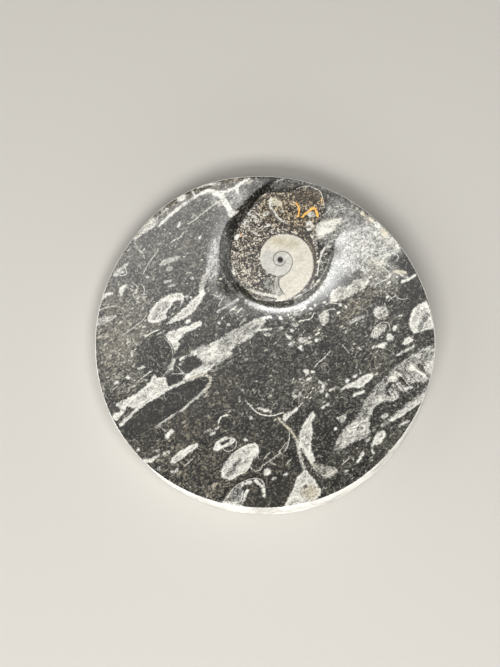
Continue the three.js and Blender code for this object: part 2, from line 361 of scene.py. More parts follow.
        [(36.2, 28.4), (37.7, 29.9), (40, 30.1), (42.3, 29.4), (43.8, 27.3), (42.3, 25.3), (38.8, 23.8),
         (36.7, 25.5)]]),
    ("band", "streaky", [(0.6, [(44.3, 24.6), (46.4, 25.2), (48.1, 24.2), (50.4, 22.9), (52.7, 23.2)])]),
    ("oval", "chalky", [(21.3, 9.3, 1.8, 2.6, 0)]),
    ("oval", "white", [(26.3, 11.3, 0.5, 0.5, 0), (27, 13.8, 0.4, 0.4, 0), (28.9, 13, 0.7, 0.3, 80),
        (44.3, 2, 1.4, 1.2, 0), (46, 5.2, 0.9, 0.6, 50), (48, 9.6, 0.6, 0.3, 0), (50.3, 0.4, 1.8, 1.1, 35),
        (29.3, -13.2, 0.7, 0.5, 30), (32, -11.5, 0.8, 0.5, 30)]),
    ("body", "white", [
        [(43.8, 17.5), (44.3, 16), (43.6, 15.8), (42.9, 14.7)],
        [(52.5, 3), (51, 5.5), (50.9, 8), (52, 11), (54.5, 13.5), (57.3, 14.5), (58.5, 10), (59.8, 6),
         (59.8, 4.4), (57, 4.4), (54.5, 3.6)],
        [(37.5, -1.8), (40, -0.3), (42.5, 0), (43.3, 0.3), (42, -2.2), (40, -1.3)],
        [(26, -16.5), (29, -14.8), (31.5, -13.8), (33.5, -12.3), (36.5, -11), (38.5, -10.8), (38, -12.3),
         (36, -13.8), (34, -16), (32, -15.2), (29, -15.8)]]),
    ("oval", "pale", [(41.3, 11, 2.6, 2.2, 20), (40.3, 4.4, 3.2, 1.5, 38), (32.5, 21.3, 1.2, 1, 0)]),
    ("band", "pale", [(0.9, [(30.5, 7.5), (33, 8.8), (35, 9.8)])]),
    ("oval", "grey", [(56.6, 8.6, 1.1, 0.4, 60), (55, 5.6, 1.2, 0.35, 70)]),
    ("band", "white", [
        (0.6, [(46.7, -4.3), (49.5, -3), (52.5, -1.3)]),
        (0.9, [(31.5, -18.3), (34.8, -17)])]),
    ("body", "shelly", [
        [(60, -1), (55.5, -2.3), (51.7, -4.1), (47.9, -7.1), (44.1, -10.2), (40.8, -13.4), (37.6, -17),
         (35.8, -19.6), (34.2, -22.6), (33, -25.2), (31.2, -27.6), (28.4, -29.6), (26.1, -32.2),
         (24.7, -35.6), (24.2, -38), (27.2, -37.1), (29.4, -35.6), (32.5, -34.1), (35.5, -33.2),
         (37.2, -31.3), (36.6, -28.3), (37.6, -25.2), (38.2, -22.8), (40, -21.4), (42.4, -20.6),
         (44.4, -20.6), (46.2, -20), (49.2, -18.2), (52.2, -16.3), (55.2, -14.5), (58, -12.5), (60, -10)]]),
    ("body", "matrix", [
        [(44, -13), (46.8, -11.8), (49, -11.6), (50, -13.6), (52.4, -14.6), (54.8, -13.6), (56.6, -15),
         (52, -17), (49.6, -18.8), (47, -20.2), (43.4, -19), (42, -16.2)],
        [(53, -7.8), (54.8, -7.4), (56.2, -10.6), (55.2, -11)]]),
    ("body", "streaky", [
        [(49, -10), (50.8, -10.7), (52.8, -11), (54.6, -12.6), (54.3, -14.1), (52.4, -14.4), (50.8, -14),
         (50, -12.4)]]),
    ("body", "pale", [[(43.4, -12.4), (44.8, -11.2), (46.8, -12.4), (46.6, -13.8), (45, -14)]]),
    ("body", "streaky", [
        [(46.8, -13.4), (49.9, -15.9), (49.6, -17.8), (48, -17), (46.4, -15)],
        [(42.6, -16.4), (44.8, -16.3), (46.8, -18), (47, -19.6), (45, -19.9)],
        [(39, -19.3), (41.6, -17.9), (42.2, -19.6), (40.4, -20.9)]]),
    ("band", "streaky", [([0.6, 0.8, 0.6], [(44.8, -14.6), (46, -16.2), (47.3, -18.2)])]),
    ("band", "white", [
        (0.7, [(49.7, -16.3), (51.5, -15.6)]),
        (1, [(48.5, 21.5), (50.5, 22), (53, 23.5)])]),
    ("body", "white", [[(55.8, -7), (59.5, -7), (59.5, -11), (56.6, -10.4)]]),
    ("band", "cream", [
        (0.7, [(46.5, 25.3), (48.5, 25.2), (50, 24.5)]),
        ([0.9, 1.2, 0.8], [(21.5, 56.5), (24, 55.3), (26.5, 53.8)]),
        (0.7, [(31.3, 50.5), (32.5, 49.8)])]),
    ("oval", "cream", [(33.4, 47.7, 0.7, 0.4, -40), (35.3, 45.9, 1.1, 0.5, -45),
        (38, 43.8, 1.5, 0.7, -40)]),
    ("oval", "white", [(40.6, 41.6, 1.8, 0.8, -45)]),
    ("oval", "cream", [(43, 39.1, 1.7, 0.9, -50)]),
    ("oval", "white", [(46, 35.8, 2.3, 1.1, -50)]),
    ("oval", "matrix", [(36.9, 44.9, 0.7, 0.35, -40), (44.5, 38.1, 0.8, 0.4, -50)]),
    # lower right
    ("oval", "white", [(20.8, -22.3, 0.8, 0.35, 30), (22.3, -21.3, 0.8, 0.35, 30), (25, -30, 0.5, 0.5, 0),
        (40, -33.3, 2.9, 1.55, 55), (28.5, -44.7, 0.6, 0.4, 30)]),
    ("body", "pale", [[(24.8, -25.8), (26.5, -27.8), (28.2, -27.8), (28.8, -25), (27.5, -25.3)]]),
    ("band", "white", [
        ([0.9, 0.7, 0.5], [(37.7, -35.6), (37.2, -37), (38, -38.7)]),
        (0.8, [(32.5, -41.3), (34.3, -38.7)])]),
    ("band", "pale", [
        (0.6, [(35.5, -34.5), (36.5, -33)]),
        (0.6, [(47, -29.3), (50, -27.5)])]),
    ("band", "shelly", [
        ([2.4, 2.6, 2.4, 2.2, 1.6, 0.8], [(58, -15.5), (54.6, -19.6), (51, -22.3), (47.6, -24.8),
            (44.2, -26.9), (41, -29.1)])]),
    ("band", "white", [([0.6, 0.8, 0.8, 0.6], [(56.5, -18), (52.8, -21.5), (48.5, -24.6), (44.5, -27.3)])]),
    ("oval", "pale", [(42, -25.5, 1.2, 0.8, 30)]),
]
ammonite = [
    # brown lime mud that fills the body chamber
    ("body", "mud", [
        [(-10.2, 23.5), (-11.3, 27), (-11.8, 31), (-11.4, 34), (-10.2, 38), (-9.2, 41), (-6.9, 44.5),
         (-4.7, 48), (-1.8, 52), (0.5, 53.9), (2.5, 54), (8, 53.8), (11, 54.3), (13, 55.5), (16, 56.3),
         (18, 55.5), (20, 54.6), (21, 53.5), (21.3, 51), (21.8, 48.5), (20.6, 45), (18.2, 42), (17.6, 39.5),
         (19, 36), (19.8, 31), (19.3, 25), (17.3, 20), (14, 17), (10.5, 15.6), (6, 14.6), (2, 14.9),
         (-1.5, 15.8), (-4.2, 17.3), (-7, 20)]]),
    # the shell itself, whose outline follows the spiral
    ("body", "shell", [
        [(-1.2, 31), (-1.1, 28.7), (0, 26.4), (2.2, 24.6), (5.3, 23.7), (5.3, 22.3), (5.2, 21), (5.9, 19),
         (7, 17.7), (5.6, 16.6), (4.3, 15.6), (4.5, 15), (6.5, 14.9), (9, 15.8), (11.5, 17.2), (14, 19.3),
         (16, 21.8), (17.2, 24.5), (17.7, 28), (17.3, 31.5), (15.7, 35), (12.4, 38), (7.2, 39.1),
         (3.2, 38.2), (0.5, 36), (-0.9, 33.4)]]),
    ("band", "white", [
        ([0.6, 0.8, 0.9, 1, 1.2], [(-5, 19.2), (-3, 18.2), (0, 17.4), (3, 16.9), (5, 16.6)])]),
    ("body", "cream", [
        [(2, 52.4), (4.7, 51.8), (7, 50.6), (7, 48.9), (5.6, 49.3), (3.9, 49.4), (2.4, 49)]]),
    ("oval", "mud", [(3.7, 48.3, 0.7, 0.6, 0)]),
    ("band", "white", [
        ([0.7, 0.9, 1, 0.9, 0.5], [(2.2, 51), (2.8, 48.4), (4, 45.8), (6.3, 43.6), (9, 42.4)])]),
    ("oval", "pale", [(6.6, 47.2, 0.5, 0.35, 30)]),
    ("oval", "white", [(16.3, 41.9, 1.9, 1.15, 80), (-6, 43, 1.2, 0.9, 70), (1.8, 42.2, 0.7, 0.5, 30)]),
    ("oval", "mud", [(16.2, 41.7, 0.6, 0.35, 80), (-6, 42.8, 0.6, 0.4, 70)]),
    ("oval", "pale", [(16.8, 45.8, 1.2, 0.9, 0), (1, 46.5, 1.1, 0.8, 30), (12.5, 16.6, 1.4, 0.6, 25)]),
    ("band", "white", [
        (0.7, [(-5, 46.5), (-2.5, 44.8)]),
        (0.6, [(-3.5, 40), (-2.5, 38.8)]),
        (0.5, [(-10.8, 29), (-10.9, 26.5), (-10.3, 24)]),
        ([0.7, 0.9, 0.8, 0.6], [(20.3, 31), (21.3, 33.5), (22.5, 34.3), (23.6, 34.3)])]),
    ("oval", "white", [(-9.3, 38, 1.3, 0.8, 70), (14.5, 19, 0.5, 0.4, 0)]),
    ("body", "speckled", [
        [(18.6, 42.2), (20.5, 43.6), (23, 44.3), (25.5, 45), (28.2, 44.8), (27.4, 43), (26.5, 41.7),
         (25.2, 40.4), (24, 39.3), (22.4, 38.8), (21, 37.6), (19, 36), (17.4, 36.6), (18, 39.8)]]),
    ("body", "white", [
        [(20, 41), (22.5, 43), (25, 43.2), (25.4, 41.8), (23.4, 40), (21, 38.8), (19.3, 38.5)]]),
    ("oval", "grey", [(28, 43.7, 1.2, 0.7, 20)]),
    ("body", "pale", [
        [(5.2, 23.4), (4.2, 23.3), (3.8, 22), (4, 20.4), (3.2, 18.6), (3.8, 17.4), (6.8, 17.2), (6.2, 18.8),
         (5.3, 20.2), (5.1, 22)]]),
    ("body", "grey", [[(-0.5, 22.5), (0.8, 20), (2.4, 18.4), (3.3, 19.5), (3.2, 21.5), (1.6, 23.4)]]),
]
# thin lines by kind and width in millimetres, each course a list of points
lines = [
    # left and lower middle
    ("pale", 0.5, [
        [(-27, 43.3), (-25, 44.2), (-23, 46), (-21, 47.5), (-19.5, 48.8), (-17, 50.5), (-15, 51.7)],
        [(-33, 36.5), (-31.5, 37.8), (-30, 38), (-28.5, 40.3)],
        [(-58.5, 11.8), (-56, 13), (-53, 13.6)],
        [(-39.5, -9.3), (-43.3, -12.2)],
        [(12, -22.3), (13.3, -20.8)],
        [(-14, -55.3), (-12.5, -53.2), (-11, -51), (-9, -49.3), (-6.5, -48), (-4, -47.2), (-2.5, -47.2),
         (-1, -47.6), (0, -48.8), (0.3, -50.5), (0.1, -53.2)]]),
    ("pale", 0.35, [[(-42.8, 25.5), (-41, 29), (-39.5, 31.2), (-38, 32.8), (-37.7, 34)]]),
    ("pale", 0.45, [
        [(-44.3, 33.7), (-43, 32.6), (-42.5, 31)],
        [(-31, -24.3), (-34.5, -26.8), (-37, -28.5)]]),
    ("pale", 0.4, [
        [(-49.5, 28), (-48.7, 26), (-48.6, 24.8), (-51, 24.3)],
        [(-46.6, 21.9), (-45.2, 21.1), (-44.7, 20.2), (-45.2, 19), (-46.4, 17.9)],
        [(-43.2, 21.2), (-42.2, 19.8), (-42.8, 18.2)],
        [(-50.2, 3), (-47.5, 5), (-45, 7), (-42.8, 8.7), (-42, 10)],
        [(-30.7, -7.8), (-28, -10.5)],
        [(-32.5, -10.4), (-28, -10.3)],
        [(-53, -16.2), (-51.5, -15)],
        [(-27.5, -42.8), (-25, -40.5)],
        [(-14.5, -36.3), (-14, -37.3), (-12.4, -37.9), (-10.6, -37.2), (-9.6, -35.6), (-9.8, -34)],
        [(0, -40.3), (2, -38.2)],
        [(0, -42.5), (2, -41), (4, -39.5), (5.5, -38.5)],
        [(2, -41.5), (4, -42.5)],
        [(5.3, -38), (6.8, -36), (7.8, -34.8)],
        [(7.2, -37.5), (8.3, -36), (8.8, -33), (9, -30.5)],
        [(-4.5, -43.5), (-3, -45), (-1, -44), (-0.5, -42.5)],
        [(-2.3, -38.5), (-2, -40)],
        [(8, -42), (9.5, -40.5)]]),
    ("faint", 0.4, [
        [(-42, 10), (-41.5, 12), (-42.2, 14)],
        [(-36, -28), (-39, -29.7), (-42, -31.5), (-44, -32.2)],
        [(-16, -27.5), (-16, -28.8), (-14.8, -30.2), (-13, -30.6), (-11.3, -29.9), (-10.4, -28.3),
         (-10.6, -26.4), (-11.8, -25.1), (-13, -24.9)]]),
    ("white", 0.5, [[(-41.8, 2.8), (-40, 4.3), (-37.3, 5.2)]]),
    ("brown", 0.7, [[(-32.3, -4.5), (-33.3, -7.5), (-34.2, -10.2)]]),
    ("faint", 0.5, [
        [(-49, -26), (-45, -21.5)],
        [(-26, -45.5), (-25.8, -47.5), (-24.5, -49.3), (-22, -50.3), (-19.5, -50), (-18, -50.3),
         (-17.3, -48.5), (-16.5, -46.5)],
        [(-17.5, -24.5), (-15, -23.7), (-12.8, -23), (-10.8, -23)],
        [(-7.5, -24), (-7.8, -25.5), (-8.5, -27.5), (-10, -29.3), (-11.5, -30.8)]]),
    ("white", 0.6, [[(-16, -27.5), (-15.5, -26), (-14.3, -25.2), (-13, -25)]]),
    ("cream", 0.5, [[(-5.5, -21), (-4, -22.8), (-2, -24.5), (0.5, -25.2), (3, -25.3), (6.5, -24.3)]]),
    # middle
    ("white", 0.4, [
        [(-12, 12.3), (-10, 13.7)],
        [(-9.5, 11.5), (-8, 13)],
        [(12.5, 8.2), (15, 8.8), (16.8, 9), (17.7, 11)]]),
    ("pale", 0.4, [
        [(-16.2, 14), (-14.8, 16.5)],
        [(-8.7, 7.3), (-6.5, 9.3)],
        [(12.5, -12.2), (14, -12.6)]]),
    ("pale", 0.5, [
        [(-18, 18), (-17, 17.3), (-15.5, 17.6)],
        [(14.5, 0), (15.3, 1.5)],
        [(17.8, -8.2), (19.2, -6.4), (21.3, -5), (23, -2.8)]]),
    # right
    ("pale", 0.5, [
        [(22, 14.2), (24, 14.8), (26, 14.3)],
        [(21.5, 11.6), (23, 12.3), (25, 12.5)]]),
    ("faint", 0.8, [
        [(33.5, 10.7), (34.5, 13), (36, 15.5), (37.5, 17.8), (40, 18.8), (42.5, 18.3), (44, 17),
         (44.8, 16)]]),
    ("pale", 0.4, [
        [(44, 15), (46.5, 16.8)],
        [(47, 16), (48.5, 15.2), (50.5, 15.5)],
        [(39.5, 5.9), (41, 7.2), (43, 7.5), (44.2, 6.5), (44.3, 4.5)],
        [(51, 1), (52.3, 2.2)]]),
    ("pale", 0.3, [[(27.8, -0.5), (30, -3.3)]]),
    ("pale", 0.35, [
        [(27, -42.5), (29.5, -40.3)],
        [(34.2, 35.6), (35.4, 36.6), (37, 36.4), (37.7, 35), (36.6, 33.7), (34.8, 34)],
        [(41.2, 30.6), (43.5, 31.7), (46.1, 31.9), (47.9, 30.4), (47, 29)]]),
    ("faint", 0.4, [[(29.2, 7), (32.8, 9.6), (35.7, 12.5), (38.7, 14.2), (41, 14.7)]]),
    ("rust", 0.3, [[(20.8, 50.2), (20.6, 51.5)]]),
    # round the ammonite
    ("faint", 0.4, [[(-11.2, 26), (-9.8, 23.4), (-7.8, 21), (-4.6, 19)]]),
    ("cream", 0.4, [[(-5, 18), (-3, 16.2), (0, 15.5), (3, 15)]]),
    ("white", 0.4, [
        [(19, 24), (19.5, 28), (20.3, 31)],
        [(13.7, 59.5), (13.9, 58)]]),
    ("pale", 0.32, [
        [(12, 55.3), (13.5, 56), (16.5, 56.4), (18, 55.6), (20.5, 54.4), (21.3, 51), (21.8, 48.5)]]),
    ("pale", 0.4, [
        [(23.8, 48.5), (22.5, 46.5), (21, 45.5)],
        [(4, 57.8), (8, 59.3), (9.5, 59.5)],
        [(20.5, 28.5), (22, 28.7)]]),
    ("brown", 0.5, [
        [(7.8, 29.2), (7.4, 28.1), (6.5, 27.5), (5.7, 27.4), (4.6, 27.8), (3.8, 28.4), (3.4, 30),
         (3.7, 31.1), (4.3, 31.9), (5.1, 32.4), (6, 32.6), (7, 32.7), (7.9, 32.5), (8.9, 31.9), (9.5, 31.1),
         (10.1, 30.1), (10.2, 29.2), (10.2, 28.1), (9.9, 27.1), (9.4, 26), (8.7, 25.1), (7.9, 24.4),
         (7.2, 24), (6.2, 23.8), (5.3, 23.7)],
        [(7.9, 24.4), (6.9, 23.7), (6, 23.2), (5.5, 22.6), (5.3, 21.3), (5.6, 19.9), (6.4, 18.5),
         (7.3, 17.3)]]),
    ("dark", 0.5, [
        [(-1.4, 31), (-1.1, 33.8), (0.4, 36.4), (3.1, 38.6), (7.2, 39.5), (12.6, 38.4), (16, 35.2),
         (17.7, 31.6), (18.1, 28), (17.6, 24.3), (16.3, 21.5), (14.2, 19), (11.6, 16.8)]]),
    ("rust", 0.6, [[(11.7, 50), (12.5, 48.8), (12.8, 47.5), (12.5, 46), (12.2, 45.2)]]),
    ("rust", 0.8, [[(13.8, 45.2), (15, 46.2), (16.2, 47.2), (17.8, 48.4), (18.4, 48.2), (19.3, 45.3)]]),
    ("rust", 0.3, [[(-8, 38.4), (-8, 39.1)]]),
    # dark seams, and two painted shadow lines by the ammonite's shell
    ("dark", 1, [
        [(-5, 18.3), (-2.5, 17), (0, 16.2), (4.1, 15.6)],
        [(8, 42), (11, 41.3), (13.6, 39.6), (16.4, 36.9), (18, 33.5), (18.5, 30), (18.2, 25), (16, 20)]]),
    ("dark", 0.5, [
        # painted shadow: the first course, along the lower edge of the shell
        [(5, 14.6), (8, 14.9), (10.5, 16.1)],
        [(10.8, 53.2), (12, 53.4), (12.6, 52.4), (12.2, 51.2), (12.8, 50.4)],
        [(12.3, 54.4), (14, 53.4), (17, 53.4), (18.6, 54.3), (17, 55.4), (14, 55.5), (12.5, 54.6)]]),
    # painted shadow under the white crescent
    ("dark", 0.6, [[(3, 47.3), (4.3, 45), (6, 43.3), (8.2, 42.3)]]),
    ("brown", 0.4, [
        [(9, 43), (13, 41), (16, 38.8), (18.5, 35)],
        [(-8, -47.2), (-5.5, -46), (-3.6, -44.2)]]),
    ("dark", 0.4, [
        [(53.5, -9), (56, -10.5)],
        [(54.5, -6), (56.5, -8.5)],
        [(45.4, -15.4), (46.9, -17.2), (47.8, -18.8)],
        [(47.2, -14.6), (48.5, -16.2), (49.2, -17.8)],
        [(43.8, -16.2), (45.2, -17.6), (46, -19.6)],
        [(49.4, -9.6), (51.4, -12), (53.4, -14)],
        [(46, -9), (48.4, -10.6), (49.4, -12.4)],
        [(50.2, -5.6), (52.4, -7.4), (55.8, -8.4)]]),
    ("white", 0.4, [[(-9.5, -46.2), (-6.5, -45), (-5, -43.3)]]),
    ("pale", 0.3, [[(-35, 2), (-33, 0), (-32.2, -3), (-32.3, -6), (-34, -9.5), (-36.5, -12)]]),
    ("white", 0.5, [
        [(50.6, -9.4), (53.4, -9.6), (55.6, -12.2)],
        [(51.6, -8.4), (54.2, -9.8), (56.2, -12)]]),
    ("pale", 0.5, [[(47, -10.8), (48.9, -12.6), (50.3, -14.8)]]),
    # the net of threads in the pale haze on the right
    ("pale", 0.35, [
        [(33, 31.5), (35, 31.7), (37, 33.2), (38.8, 33.4), (41, 32.6), (43.4, 33)],
        [(38.5, 33), (38, 30.3), (39.6, 28.5), (41.5, 28.8), (42.3, 30.3), (44.4, 31.2), (46.6, 31.7)],
        [(39, 20.5), (42, 22), (44.6, 23), (44, 25.5), (41, 27.5), (40.5, 28.5)]]),
    ("faint", 0.35, [
        [(34, 35.6), (34.6, 36.7), (36, 36.8), (36.8, 35.7), (36.2, 34.5), (34.8, 34.4), (34, 35.4)],
        [(36.5, 35.2), (38.3, 37.8), (41.5, 38.4)],
        [(29, 34.5), (31, 33.2), (33.5, 32.5)],
        [(42.3, 30.3), (43.5, 28.2), (46, 27.6), (47.2, 28.8)],
        [(44.6, 23), (47.5, 24.3), (50, 23.7)],
        [(33, 17.5), (36, 17), (39, 18.5), (41, 17.5)]]),
]
# outlines that more than one of the zones use
straightShell = [
    [(-51, -29), (-45, -23.5), (-40, -20), (-35, -16.6), (-27.5, -13), (-20.5, -10.3), (-20, -13),
     (-22.5, -18), (-24.5, -19.5), (-31, -24.3), (-37, -28.5), (-44, -32.5)],
]
darkPebbles = [
    [(-29, -8.5), (-28.5, -6), (-26.5, -4), (-24.5, -3.3), (-22.9, -4.5), (-22.6, -6.5), (-24.5, -8.2),
     (-28, -10.3)],
    [(-34.3, -10.8), (-28, -10.6), (-27.8, -11.8), (-28.7, -12.9), (-31, -13.7), (-33.2, -15.2),
     (-34.2, -14.8)],
]
innerWhorls = [
    [(-1.5, 33), (2, 33), (4, 32.3), (6, 32.6), (8.2, 32.4), (9.6, 31), (10.2, 29), (9.9, 27), (8.5, 25),
     (6.2, 23.8), (5, 23), (-1.5, 25)],
]
warmPatch = [[(28, 5), (36, 13), (42, 18), (39, 20.5), (31, 16), (25, 11)]]
threadPatch = [[(37, 27), (47, 28), (49.5, 23), (42, 19.5), (37, 21)]]
